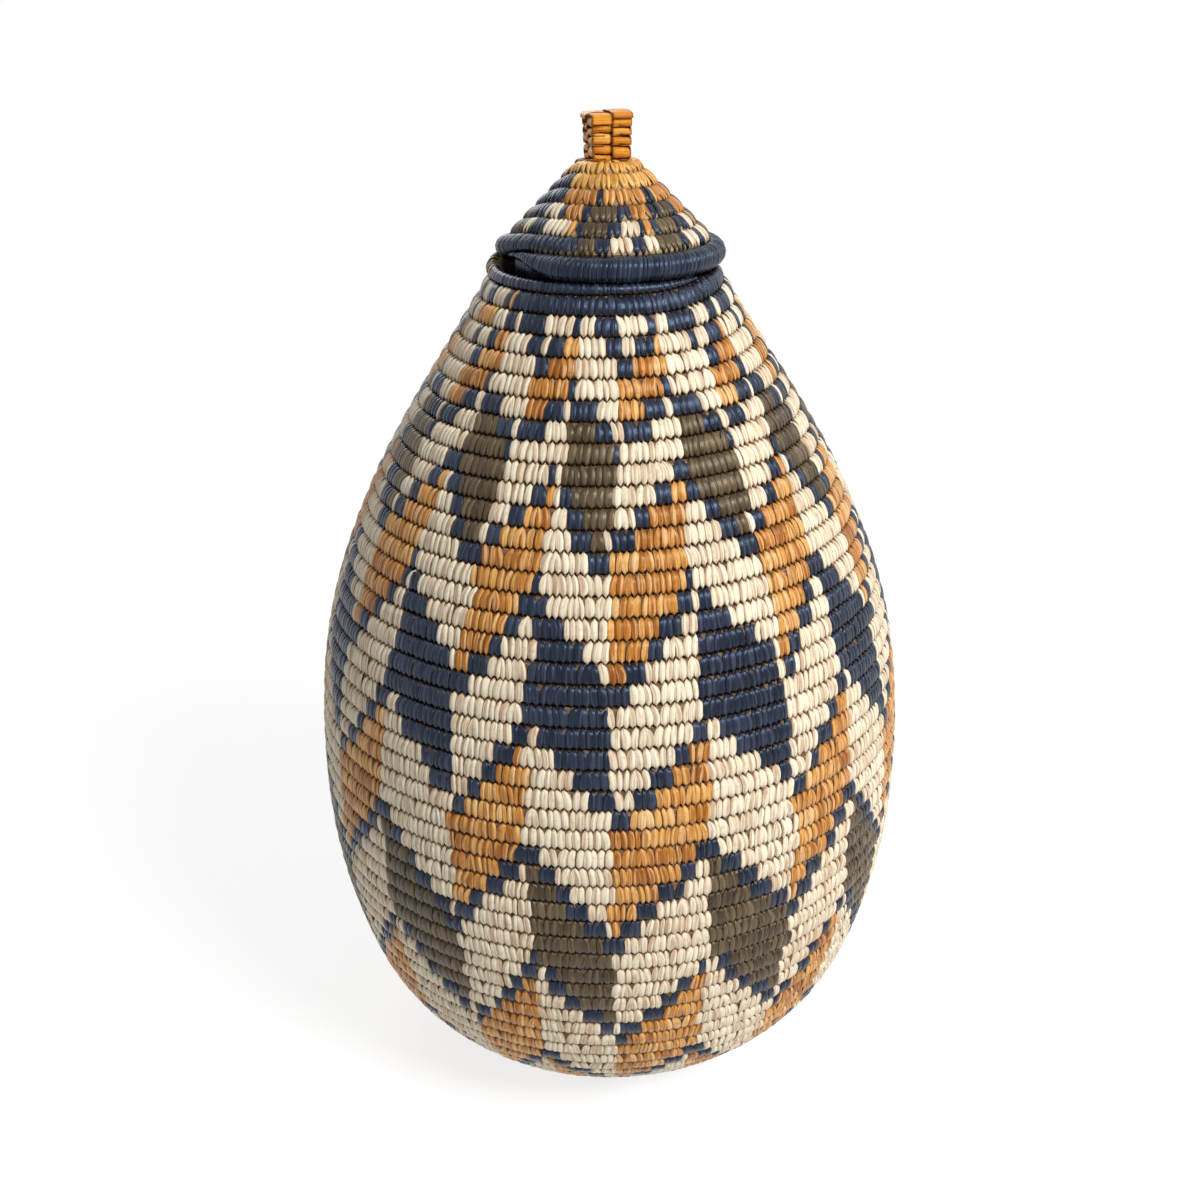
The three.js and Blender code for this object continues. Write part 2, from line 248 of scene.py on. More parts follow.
# The slope starts well outside the rim and bends into a flat top under the knob.
SLOPE_OUTSIDE = 12
TOP_RISE = 0.1
lid_bend = lid_crest(LID_LENGTH - LID_TOP_LOWER)
lid_line = np.array([lid_crest(-SLOPE_OUTSIDE), lid_bend, (0, lid_bend[1] + TOP_RISE)])
lid = Crest(lid_line, start=SLOPE_OUTSIDE)


# Seams between the rows, as distances along the crest

def body_edge(turn):
    """The mouth's upper edge."""
    return WALL_LENGTH + np.interp(turn * 360, *MOUTH_EDGE)


def body_seam(row, turn):
    """The seam under a row. Rows count down from the neck, which is row 1, and a turn runs
    from -0.5 to 0.5, both at the back."""
    angle = turn * 360 % 360
    late = smooth((angle - CLIMB_FROM) / (CLIMB_TO - CLIMB_FROM)) * CLIMB_SHARE
    rest = np.clip((angle - CLIMB_TO) / (360 - CLIMB_TO), 0, 1) * (1 - CLIMB_SHARE)
    uneven = late + rest - angle / 360
    wound = turn + 1 - row
    levelled = np.clip(1 + (wound + 0.5) / LEVELLED_TURNS, 0, 1)
    lowest = CENTRE_LEFT_OPEN - BASE_RADIUS
    seam = WALL_LENGTH + FIRST_SEAM + ROW * (wound + levelled * uneven)
    return np.clip(seam, lowest, body_edge(turn))


def lid_seam(row, turn):
    """The outer seam of a lid row. Row 6 is the outermost, and a turn runs from 0 to 1."""
    angle = LID_CUT + 360 * turn
    span = LID_CLIMB_TO - LID_CLIMB_FROM
    early = smooth((angle - LID_CLIMB_FROM) / span) - 1
    late = smooth((angle - 360 - LID_CLIMB_FROM) / span)
    seam = LID_ROW * (LID_ROWS - row + np.where(angle < 180, early, late))
    return np.minimum(seam, LID_END)


# The dyed design

# Sector edges in degrees: those in front are uneven, as sewn, and the rest share the back.
FRONT_EDGES = [-61, -28.5, 0.5, 34.5, 65]
BACK_SECTORS = 8
BACK_EDGES = np.linspace(FRONT_EDGES[-1], FRONT_EDGES[0] + 360, BACK_SECTORS + 1)
EDGES = np.concatenate([FRONT_EDGES, BACK_EDGES[1:]])

# Motifs of a sector's two columns: dye, first row, rows to widen, the row where the inner edge
# starts to move out, rows to narrow.
LEFT_MOTIFS = [
    (RUST, 3.0, 2.5, 4.6, 2.4),
    (RUST, 10, 4.0, 13.7, 5.3),
    (RUST, 22, 4.6, 26, 5.2),
    (RUST, 35, 5.4, 40.2, 5),
]
RIGHT_MOTIFS = [
    (NAVY, -4, 4, 1, 2.9),
    (BROWN, 6.3, 2.9, 8.6, 4.4),
    (NAVY, 15, 4, 20, 5),
    (BROWN, 28.2, 5, 32.4, 5.6),
    (RUST, 42, 5, 47, 5),
]
# A motif starts so many rows before its tip, as if it had widened for so many already, and its
# inner edge moves out slowly at first.
MOTIF_EARLY = 0.25
MOTIF_HEAD_START = 0.75
INNER_POWER = 1.15
# Its navy outline is at least one cell wide, and starts and ends so many rows outside it.
TIP_CELL = 0.13
OUTLINE_BEFORE = 1.2
OUTLINE_AFTER = 0.9
DYE_JITTER = 0.015
LID_DYE_JITTER = 0.02
# The neck row is navy from here on.
NAVY_FROM = -45
# A stretch of rust in the second row, in degrees.
RUST_PATCH = (-66, -52)
# How far the edges drift to the right, by row, and stray from row to row, in degrees.
DRIFT = ([4, 6, 8, 12, 20, 25], [4.5, 3, 2.8, -0.6, -0.4, -0.2])
ROW_STRAY = 0.4
STRAY = random.normal(0, ROW_STRAY, LAST_ROW + 2) + np.interp(np.arange(LAST_ROW + 2), *DRIFT)
# The neck row before the navy end of the coil: dye, and where each stretch starts.
NECK_STRETCHES = [
    (NATURAL, -90), (NAVY, -78), (NATURAL, -72), (NAVY, -66), (NATURAL, -60), (NAVY, -50.5), (RUST, -48.5),
]


def edges_of(motif, row):
    """Inner and outer edge of a motif at a row, as shares of its column's width."""
    _, tip, widen, turn_row, narrow = motif
    started = row > tip - MOTIF_EARLY
    outer = np.clip((row - tip + MOTIF_HEAD_START) / widen, 0, 1) if started else 0.0
    inner = np.clip((row - turn_row) / narrow, 0, 1) ** INNER_POWER
    return inner, outer


def body_dye(row, degrees, jitter):
    """The dye of a body stitch by its row and its angle."""
    if row < 1:
        return NATURAL if PATCH_FROM < degrees < PATCH_TO else NAVY
    if row == 1 and degrees > NAVY_FROM:
        return NAVY
    if row == 1 and degrees > NECK_STRETCHES[0][1]:
        return [dye for dye, start in NECK_STRETCHES if degrees >= start][-1]
    if row == 2 and RUST_PATCH[0] < degrees < RUST_PATCH[1]:
        return RUST
    angle = (degrees - STRAY[row] - EDGES[0]) % 360 + EDGES[0]
    sector = int(np.searchsorted(EDGES, angle, side="right")) - 1
    sector = min(sector, len(EDGES) - 2)
    share = (angle - EDGES[sector]) / (EDGES[sector + 1] - EDGES[sector])
    out = abs(share - 0.5) * 2 + jitter
    found = NATURAL
    for motif in LEFT_MOTIFS if share < 0.5 else RIGHT_MOTIFS:
        dye, tip, _, turn_row, narrow = motif
        inner, outer = edges_of(motif, row)
        ended = inner >= 1 and row > turn_row + narrow + OUTLINE_AFTER
        if row < tip - OUTLINE_BEFORE or ended:
            continue
        if inner <= out < outer:
            return dye
        _, next_outer = edges_of(motif, row + 1)
        before_inner, _ = edges_of(motif, row - 1)
        widening = row < turn_row and outer <= out < max(next_outer, outer + TIP_CELL)
        narrowing = row >= turn_row and min(before_inner, inner - TIP_CELL) <= out < inner
        if dye != NAVY and (widening and outer < 1 or narrowing and inner > 0):
            found = NAVY
    return found


# The lid's repeats and where they start, and where the navy start of its outermost row ends.
LID_REPEATS = 7
LID_SEWN_FROM = -15
LID_NAVY_END = -19
# The lid's dyed stretches on a navy ground, as shares of one repeat.
LID_STRETCHES = {
    3: [(RUST, 0.26, 1.0)],
    4: [(RUST, 0.59, 0.94), (BROWN, 0.08, 0.43)],
    5: [(RUST, 0.76, 0.87), (BROWN, -0.04, 0.28), (NATURAL, 0.50, 0.66)],
    6: [(BROWN, -0.13, 0.13), (NATURAL, 0.29, 0.54), (NATURAL, 0.65, 0.86)],
}
# Stretches that break the repeat, in degrees, where the lid's coil climbs at its left front.
LID_ODD_STRETCHES = {
    2: [(NAVY, -50, -46)],
    3: [(NAVY, -50, -42), (NAVY, 266, 310)],
    4: [(NATURAL, -50, -40), (NAVY, -40, -32), (NAVY, 274, 310)],
    5: [
        (NAVY, -50, -46), (NATURAL, -46, -28), (BROWN, 262, 284), (NAVY, 284, 305), (NATURAL, 305, 310),
    ],
    6: [(BROWN, 265, 290), (NATURAL, 290, 301), (NAVY, 301, 310)],
}


def lid_dye(row, degrees, jitter):
    """The dye of a lid stitch. Rows count from the top, and the outermost is row 6."""
    for dye, start, end in LID_ODD_STRETCHES.get(row, []):
        if start <= degrees < end:
            return dye
    if row <= 2:
        return TAN
    if row == LID_ROWS and degrees < LID_NAVY_END:
        return NAVY
    place = (degrees - LID_SEWN_FROM) / 360 * LID_REPEATS + jitter
    for dye, start, end in LID_STRETCHES[row]:
        if (place - start) % 1 < end - start:
            return dye
    return NAVY


# Strips

# A strip's way round its row: from the toe that pierces the next row, over the outside to the
# tip between two toes of the row behind, and back inside. Share of the half height, inset as a
# share of the coil's depth, and widths on the body and on the lid, whose tips are long fingers.
SEWN = np.array([
    (-1.27, 0.27, 0.18, 0.60),
    (-1.20, 0.20, 0.44, 0.84),
    (-1.04, 0.13, 0.73, 1.00),
    (-0.80, 0.068, 0.93, 1.06),
    (-0.48, 0.022, 1.05, 1.08),
    (-0.05, 0.0, 1.08, 1.04),
    (0.32, 0.016, 1.07, 0.94),
    (0.60, 0.058, 1.01, 0.76),
    (0.84, 0.125, 0.76, 0.56),
    (1.12, 0.250, 0.22, 0.34),
    (0.80, 0.82, 0.80, 0.60),
    (0.0, 1.0, 1.0, 1.0),
    (-0.80, 0.82, 0.90, 0.90),
])
ACROSS = np.array([-1, -0.7, 0, 0.7, 1.0])
# Where toe and point start and how long they are, how far their edges are cut back, and how
# far they stray, as shares of the half height.
TOE = (0.75, 0.42)
TOE_CUT = 0.3
POINT = (0.7, 0.35)
POINT_CUT = 0.2
LENGTH_STRAY = 0.035
# The strip's half width as a share of its pitch, its bow, and from where and how late it leans
# to its tip.
HALF_WIDTH = 0.52
BOW = 0.06
LEAN_FROM = -0.2
LEAN_POWER = 1.3
# The strips round the rim slant, and lie flat where it joins the cone.
ROUND_POINTS = 14
RIM_HALF_WIDTH = 0.55
RIM_SLANT = 0.35
RIM_SQUARENESS = 0.3


def sew(count, turn_from, turn_to, above=None):
    """Places, widths, tips and left edges of the stitches of one row, in turns."""
    odd = random.standard_normal(count).clip(-SPREAD_LIMIT, SPREAD_LIMIT)
    edge = np.concatenate([[0], np.cumsum(1 + STITCH_SPREAD * odd)])
    edge = edge / edge[-1] * (turn_to - turn_from) + turn_from
    centre, width = (edge[1:] + edge[:-1]) / 2, edge[1:] - edge[:-1]
    tip = centre if above is None else toward(centre, above)
    tip = tip + random.normal(0, TIP_STRAY, count) * (turn_to - turn_from) / count
    return centre, width, tip, edge[:-1]


def sew_rows(counts, turn_from, turn_to):
    """Rows, places, widths and tips of the stitches of several rows, each sewn to the one
    before. Counts are pairs of a row and its number of stitches."""
    sewn, above = [], None
    for row, count in counts:
        centre, width, tip, above = sew(count, turn_from, turn_to, above)
        sewn.append((np.full(count, row), centre, width, tip))
    return [np.concatenate(values) for values in zip(*sewn, strict=True)]


def toward(centre, edges):
    """Each place moved to the nearest of some edges, by half a stitch at most."""
    near = edges[np.abs(edges[None, :] - centre[:, None]).argmin(1)]
    most = 0.5 * np.median(np.diff(centre))
    return centre + np.clip(near - centre, -most, most)


def strip_marks(shape, along):
    """What the strips carry for the materials: a tone, a spare random number, the place along
    and the place across."""
    count = shape[0]
    marks = np.empty((*shape, 4))
    # Neighbouring strips come from the same leaf, so they are alike.
    leaf = np.repeat(random.uniform(0, 1, count // ALIKE + 1), ALIKE)[:count]
    tone = LEAF_SHARE * leaf + (1 - LEAF_SHARE) * random.uniform(0, 1, count)
    marks[..., 0] = tone[:, None, None]
    marks[..., 1] = random.uniform(0, 1, count)[:, None, None]
    marks[..., 2] = along
    marks[..., 3] = np.abs(ACROSS)
    return marks


def unevenness(count):
    """Each strip's crowned section, raised and tilted a little at random."""
    u = ACROSS[None, None, :]
    raised = random.normal(0, RAISED, count).clip(-RAISED_MOST, RAISED_MOST)[:, None, None]
    tilt = random.normal(0, TILT, count)[:, None, None] * u
    crown = -CROWN * np.abs(u) ** CROWN_POWER - EDGE_SINK * np.abs(u) ** EDGE_POWER
    return crown + raised + tilt


def round_axis(radius, height, turn):
    angle = 2 * math.pi * turn
    return np.stack([radius * np.sin(angle), -radius * np.cos(angle), height], axis=-1)


def sewn_strips(place, centre, width, tip, bottom, top, depth, flip=False, lift=0.0):
    """Points (strips, round, across, 3) in mm and marks (strips, round, across, 4)."""
    count = len(centre)
    share, down, wide = (SEWN[:, i][None, :, None] for i in (0, 1, 3 if flip else 2))
    u = ACROSS[None, None, :]
    outside = np.where(down < 0.5, 1.0, 0.0)
    half = ((top - bottom) / 2)[:, None, None]
    middle = ((top + bottom) / 2)[:, None, None]
    fit = np.clip(half / (ROW / 2), 0.2, 1)
    # Both ends are drawn to a point.
    toe = np.clip((-share - TOE[0]) / TOE[1], 0, 1) * outside
    point = np.clip((share - POINT[0]) / POINT[1], 0, 1) * outside
    longer = random.normal(0, LENGTH_STRAY, count)[:, None, None]
    reach = share + toe * (TOE_CUT * np.abs(u) - longer) - POINT_CUT * point * np.abs(u)
    rise = fit * unevenness(count)
    inset = depth[:, None, None] * down - (rise + lift) * outside + 0.5 * rise * (1 - outside)
    lean = np.clip((share - LEAN_FROM) / (1 - LEAN_FROM), 0, 1) ** LEAN_POWER
    bow = random.normal(0, BOW, count)[:, None, None] * (1 - np.clip(share**2, 0, 1))
    turn = centre[:, None, None] + (tip - centre)[:, None, None] * lean
    turn = turn + width[:, None, None] * (u * wide * HALF_WIDTH + bow)
    radius, height = place(middle + (-half if flip else half) * reach, inset)
    points = round_axis(radius, height, turn)
    marks = strip_marks(points.shape[:3], np.clip((share + 1.2) / 2.3, 0, 1))
    if flip:
        return points[:, ::-1], marks[:, ::-1]
    return points, marks


def wrapped_strips(centre, width, middle, along, deep, squarer):
    """Strips round a free coil, by the half sizes of its section along the lid's slope and
    square to it."""
    a = np.linspace(-math.pi / 2, 1.5 * math.pi, ROUND_POINTS, endpoint=False)[None, :, None]
    u = ACROSS[None, None, :]
    rise = unevenness(len(centre))
    squarer = squarer[:, None, None]
    sine, cosine = (signed_power(x, 1 - RIM_SQUARENESS * squarer) for x in (np.sin(a), np.cos(a)))
    distance = middle[:, None, None] + (along[:, None, None] + rise) * sine
    inset = LID_DEPTH / 2 + RIM_INSET * (1 - squarer) - (deep[:, None, None] + rise) * cosine
    half_width = u * RIM_HALF_WIDTH + RIM_SLANT * np.sin(a)
    radius, height = lid.place(distance, inset)
    points = round_axis(radius, height, centre[:, None, None] + width[:, None, None] * half_width)
    return points, strip_marks(points.shape[:3], 0.5)


# Meshes

# How much longer than wide a strip's cell in the baking map is.
CELL_ASPECT = 7


def mesh_object(name, points, marks, quads, bake, fibre):
    """A mesh of points in mm, with its maps for baking and for the fibres."""
    mesh = bpy.data.meshes.new(name)
    mesh.vertices.add(points.size // 3)
    mesh.vertices.foreach_set("co", (points * MM).astype(np.float32).ravel())
    mesh.loops.add(quads.size)
    mesh.loops.foreach_set("vertex_index", quads.astype(np.int32).ravel())
    mesh.polygons.add(len(quads))
    mesh.polygons.foreach_set("loop_start", np.arange(0, quads.size, 4, dtype=np.int32))
    mesh.polygons.foreach_set("loop_total", np.full(len(quads), 4, np.int32))
    mesh.update(calc_edges=True)
    mesh.polygons.foreach_set("use_smooth", np.ones(len(quads), bool))
    for layer_name, values in (("OFBake", bake), ("fibres", fibre)):
        layer = mesh.uv_layers.new(name=layer_name)
        layer.data.foreach_set("uv", values.astype(np.float32).ravel())
    mesh.uv_layers.active = mesh.uv_layers["OFBake"]
    colour = mesh.attributes.new("marks", "FLOAT_COLOR", "POINT")
    colour.data.foreach_set("color", marks.astype(np.float32).ravel())
    made = bpy.data.objects.new(name, mesh)
    bpy.context.scene.collection.objects.link(made)
    return made


def cell_corners(along, across):
    """Where the corners of a grid's cells lie, counted along it and across it."""
    first = np.arange(along)[:, None, None] + np.array([0, 0, 1, 1])
    second = np.arange(across)[:, None] + np.array([0, 1, 1, 0])
    return first, second


def inner(share, margin):
    """A share of a baking cell's side, drawn in from both ends by a margin."""
    return share * (1 - 2 * margin) + margin


def strip_object(name, points, marks):
    """One mesh of closed strips, each with a cell of its own in the baking map."""
    count, around, across, _ = points.shape
    ids = np.arange(count * around * across).reshape(count, around, across)
    nxt = np.roll(ids, -1, axis=1)
    corners = [ids[:, :, :-1], ids[:, :, 1:], nxt[:, :, 1:], nxt[:, :, :-1]]
    quads = np.stack(corners, axis=-1).reshape(-1, 4)
    columns = max(1, math.ceil(math.sqrt(count * CELL_ASPECT)))
    rows = math.ceil(count / columns)
    index = np.arange(count)[:, None, None, None]
    a, c = cell_corners(around, across - 1)
    bake = np.empty((count, around, across - 1, 4, 2))
    bake[..., 0] = (index % columns + inner(c / (across - 1), 0.08)) / columns
    bake[..., 1] = (index // columns + inner(a / around, 0.02)) / rows
    width = np.linalg.norm(points[:, :, 1:] - points[:, :, :-1], axis=-1).sum(2).max(1)
    length = np.linalg.norm(np.roll(points, -1, 1) - points, axis=-1)[:, :, across // 2].sum(1)
    offset = random.uniform(0, 500, count)[:, None, None, None]
    fibre = np.empty_like(bake)
    fibre[..., 0] = c / (across - 1) * width[:, None, None, None] + offset
    fibre[..., 1] = a / around * length[:, None, None, None]
    return mesh_object(name, points, marks, quads, bake, fibre)


def cap(ids):
    """Quads that close a ring with an even number of points."""
    n = len(ids)
    i = np.arange(n // 2 - 1)
    return np.stack([ids[i], ids[i + 1], ids[n - 2 - i], ids[n - 1 - i]], axis=-1)


def tube_quads(count, around, start=0):
    """The sides and caps of a tube of so many rings, whose points are numbered from a start."""
    ids = np.arange(count * around).reshape(count, around) + start
    nxt = np.roll(ids, -1, axis=1)
    sides = np.stack([ids[:-1], nxt[:-1], nxt[1:], ids[1:]], axis=-1).reshape(-1, 4)
    return sides, np.vstack([cap(ids[0])[:, ::-1], cap(ids[-1])])


def tube_object(name, rings):
    """A closed tube through rings of points, (rings, round, 3) in mm."""
    count, around, _ = rings.shape
    sides, caps = tube_quads(count, around)
    step = np.linalg.norm(np.diff(rings.mean(1), axis=0), axis=-1)
    along = np.concatenate([[0], np.cumsum(step)])
    girth = np.linalg.norm(rings - np.roll(rings, 1, axis=1), axis=-1).sum(1).max()
    r, a = cell_corners(count - 1, around)
    fibre = np.empty((count - 1, around, 4, 2))
    fibre[..., 0] = a / around * girth
    fibre[..., 1] = along[r]
    # The baking map lays the tube out in rows, with so many rings in each.
    per_row = max(1, int(math.sqrt(count * girth / step.mean())))
    rows = math.ceil((count - 1) / per_row)
    first = np.arange(count - 1)[:, None, None]
    bake = np.empty_like(fibre)
    bake[..., 0] = (first % per_row + inner(r - first, 0.01)) / per_row
    bake[..., 1] = (first // per_row + inner(a / around, 0.05)) / rows
    spare = np.zeros((caps.size, 2))
    marks = np.full((count, around, 4), 0.5)
    bake, fibre = (np.vstack([x.reshape(-1, 2), spare]) for x in (bake, fibre))
    return mesh_object(name, rings, marks, np.vstack([sides, caps]), bake, fibre)


def sheet_object(name, sheets):
    """Bent strips of the knob, each by a grid (along, across, 3) in mm of its outside."""
    points, quads, bakes, fibres, marks = [], [], [], [], []
    cells = math.ceil(math.sqrt(len(sheets)))
    start = 0
    for index, outer in enumerate(sheets):
        along, across, _ = outer.shape
        normal = np.cross(np.gradient(outer, axis=1), np.gradient(outer, axis=0))
        normal /= np.maximum(np.linalg.norm(normal, axis=-1, keepdims=True), 1e-9)
        ring = np.concatenate([outer, (outer - normal * FOLD_THICKNESS)[:, ::-1]], axis=1)
        around = 2 * across
        sides, caps = tube_quads(along, around, start)
        v, u = cell_corners(along - 1, around)
        wide = np.linalg.norm(np.diff(outer, axis=1), axis=-1).sum(1).mean()
        long = np.linalg.norm(np.diff(outer, axis=0), axis=-1).sum(0).mean()
        corner = np.array([index % cells, index // cells])
        bake = np.empty((along - 1, around, 4, 2))
        bake[..., 0] = (corner[0] + inner(u / around, 0.04)) / cells
        bake[..., 1] = (corner[1] + inner(v / (along - 1), 0.04)) / cells
        fibre = np.empty_like(bake)
        fibre[..., 0] = v / (along - 1) * long + 37.0 * index
        fibre[..., 1] = u / around * 2 * wide
        own = np.empty((along, around, 4))
        own[..., :2] = random.uniform(0, 1, 2)
        own[..., 2] = np.linspace(0, 1, along)[:, None]
        own[..., 3] = np.abs(np.tile(np.linspace(-1, 1, across), 2))[None, :]
        points.append(ring.reshape(-1, 3))
        quads += [sides, caps]
        bakes += [bake.reshape(-1, 2), np.tile((corner + 0.01) / cells, (caps.size, 1))]
        fibres += [fibre.reshape(-1, 2), np.zeros((caps.size, 2))]
        marks.append(own.reshape(-1, 4))
        start += along * around
    return mesh_object(name, *(np.vstack(x) for x in (points, marks, quads, bakes, fibres)))


def dress(made, node, body_name, material):
    """Gives a piece its material and body, and hides the CAD node that it stands for."""
    made.data.materials.append(material)
    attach(made, body_name)
    if node:
        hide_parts(node)


def dress_strips(points, marks, nodes, dyes, body_name, ending=""):
    """One piece for each CAD node and dye."""
    for node in sorted(set(nodes)):
        for dye, short in enumerate(SHORT):
            chosen = (nodes == node) & (dyes == dye)
            if chosen.any():
                made = strip_object(f"{node}_{short}{ending}", points[chosen], marks[chosen])
                dress(made, str(node), body_name, PALM[dye])


# Materials

# Noise along the fibres: cycles per mm across and along them, and its detail.
RIBS = (0.95, 0.035, 2.0)
FIBRES = (3.5, 0.12, 3.0)
PATCHES = (0.35, 0.25, 2.0)
STEMS = (1.6, 0.08, 3.0)
STEM_TONES = (0.3, 0.55, 0.8)
NOISE_ROUGHNESS = 0.65
# A leaf's dark fibres are made of its darkest tone and its edge's, and its light ribs are this
# much lighter than its lightest tone.
DARK_SHARES = (0.45, 0.25)
LIGHTER = (1.16, 0.012)
# Relief in mm, the fibres' share of it, and how roughness follows it between two heights.
PALM_RELIEF = 0.45
GRASS_RELIEF = 0.3
FIBRE_RELIEF = 0.35
BUMP_STRENGTH = 0.7
GRASS_ROUGHNESS = 0.6
ROUGHNESS_SPREAD = (-0.07, 0.1)
SPREAD_HEIGHTS = (0.3, 0.7)


def node_tree(name):
    material = bpy.data.materials.new(name)
    material.use_nodes = True
    tree = material.node_tree
    tree.nodes.clear()
    return material, tree


def add(tree, kind, **values):
    made = tree.nodes.new(kind)
    for key, value in values.items():
        setattr(made, key, value)
    return made


def mix_colours(tree, factor, first, second):
    made = add(tree, "ShaderNodeMix", data_type="RGBA")
    tree.links.new(factor, made.inputs[0])
    for socket, value in ((made.inputs[6], first), (made.inputs[7], second)):
        if isinstance(value, tuple):
            socket.default_value = (*value, 1)
        else:
            tree.links.new(value, socket)
    return made.outputs[2]


def mapped(tree, value, low, high, to_low=0.0, to_high=1.0):
    made = add(tree, "ShaderNodeMapRange", interpolation_type="SMOOTHSTEP")
    tree.links.new(value, made.inputs[0])
    for socket, number in zip(made.inputs[1:5], (low, high, to_low, to_high), strict=True):
        socket.default_value = number
    return made.outputs[0]


def ramp(tree, value, stops):
    made = add(tree, "ShaderNodeValToRGB")
    tree.links.new(value, made.inputs[0])
    elements = made.color_ramp.elements
    while len(elements) < len(stops):
        elements.new(0.5)
    for element, (place, colour) in zip(elements, stops, strict=True):
        element.position = place
        element.color = (*colour, 1)
    return made.outputs[0]


def fibre_noise(tree, across, along, detail):
    """Noise drawn out along the fibres: across and along are cycles per mm."""
    coords = add(tree, "ShaderNodeUVMap", uv_map="fibres")
    stretch = add(tree, "ShaderNodeVectorMath", operation="MULTIPLY")
    tree.links.new(coords.outputs[0], stretch.inputs[0])
    stretch.inputs[1].default_value = (across, along, 1)
    made = add(tree, "ShaderNodeTexNoise", noise_dimensions="2D")
    tree.links.new(stretch.outputs[0], made.inputs["Vector"])
    made.inputs["Scale"].default_value = 1.0
    made.inputs["Detail"].default_value = detail
    made.inputs["Roughness"].default_value = NOISE_ROUGHNESS
    return made.outputs[0]


def finish_surface(material, tree, colour, height, depth, roughness, gloss=0.5, tint=(1, 1, 1)):
    """The shader, with bump from a height in mm."""
    links = tree.links
    shader = add(tree, "ShaderNodeBsdfPrincipled")
    links.new(colour, shader.inputs["Base Color"])
    limits = (roughness + spread for spread in ROUGHNESS_SPREAD)
    links.new(mapped(tree, height, *SPREAD_HEIGHTS, *limits), shader.inputs["Roughness"])
    shader.inputs["Specular IOR Level"].default_value = gloss
    shader.inputs["Specular Tint"].default_value = (*tint, 1)
    bump = add(tree, "ShaderNodeBump")
    bump.inputs["Strength"].default_value = BUMP_STRENGTH
    bump.inputs["Distance"].default_value = depth * MM
    links.new(height, bump.inputs["Height"])
    links.new(bump.outputs[0], shader.inputs["Normal"])
    output = add(tree, "ShaderNodeOutputMaterial")
    links.new(shader.outputs[0], output.inputs[0])
    return material


def palm_leaf(name, stops, edge, tip, roughness, streak=0.5, tip_share=0.5, **shine):
    """Split palm leaf: a tone for each strip, ribs and fine fibres along it, darker edges that are
    partly the strips' own edges and partly painted shade in the seams between them, and another
    colour at its ends: painted shade where they go into the seams, but a paler straw at the tan's tip."""
    material, tree = node_tree(name)
    marks = add(tree, "ShaderNodeAttribute", attribute_name="marks")
    parts = add(tree, "ShaderNodeSeparateColor")
    tree.links.new(marks.outputs["Color"], parts.inputs[0])
    tone, _, along = parts.outputs
    across = marks.outputs["Alpha"]
    ribs, fibres, patches = (fibre_noise(tree, *fineness) for fineness in (RIBS, FIBRES, PATCHES))
    colour = ramp(tree, tone, stops)
    dark = tuple(DARK_SHARES[0] * a + DARK_SHARES[1] * b for a, b in zip(stops[0][1], edge, strict=True))
    light = tuple(min(1.0, c * LIGHTER[0] + LIGHTER[1]) for c in stops[-1][1])
    # What is laid over the tone: by what, from which value to which, how much, which colour.
    for value, none_at, most_at, most, over in (
        (ribs, 0.52, 0.64, streak, light),
        (ribs, 0.49, 0.38, streak, edge),
        (fibres, 0.45, 0.25, 0.4, dark),
        (patches, 0.55, 0.8, 0.35, edge),
        # Darker strip edges: partly their own edges, partly painted shade in the seams between neighbours.
        (across, 0.7, 1.0, 0.9, edge),
        # Painted shade at the tip, which lies in the notch under the next row; the tan's tip colour is a
        # paler straw instead.
        (along, 0.87, 1.0, tip_share, tip),
        # Painted shade at the toe, where it goes into the seam under the row.
        (along, 0.1, 0.0, 0.5, edge),
    ):
        colour = mix_colours(tree, mapped(tree, value, none_at, most_at, 0, most), colour, over)
    height = add(tree, "ShaderNodeMix", data_type="FLOAT")
    height.inputs[0].default_value = FIBRE_RELIEF
    tree.links.new(ribs, height.inputs[2])
    tree.links.new(fibres, height.inputs[3])
    return finish_surface(material, tree, colour, height.outputs[0], PALM_RELIEF, roughness, **shine)


def grass_bundle(name, *tones):
    """Cut grass: fine stems along the coil, in a dark, a middle and a pale tone."""
    material, tree = node_tree(name)
    stems = fibre_noise(tree, *STEMS)
    colour = ramp(tree, stems, list(zip(STEM_TONES, tones, strict=True)))
    return finish_surface(material, tree, colour, stems, GRASS_RELIEF, GRASS_ROUGHNESS)


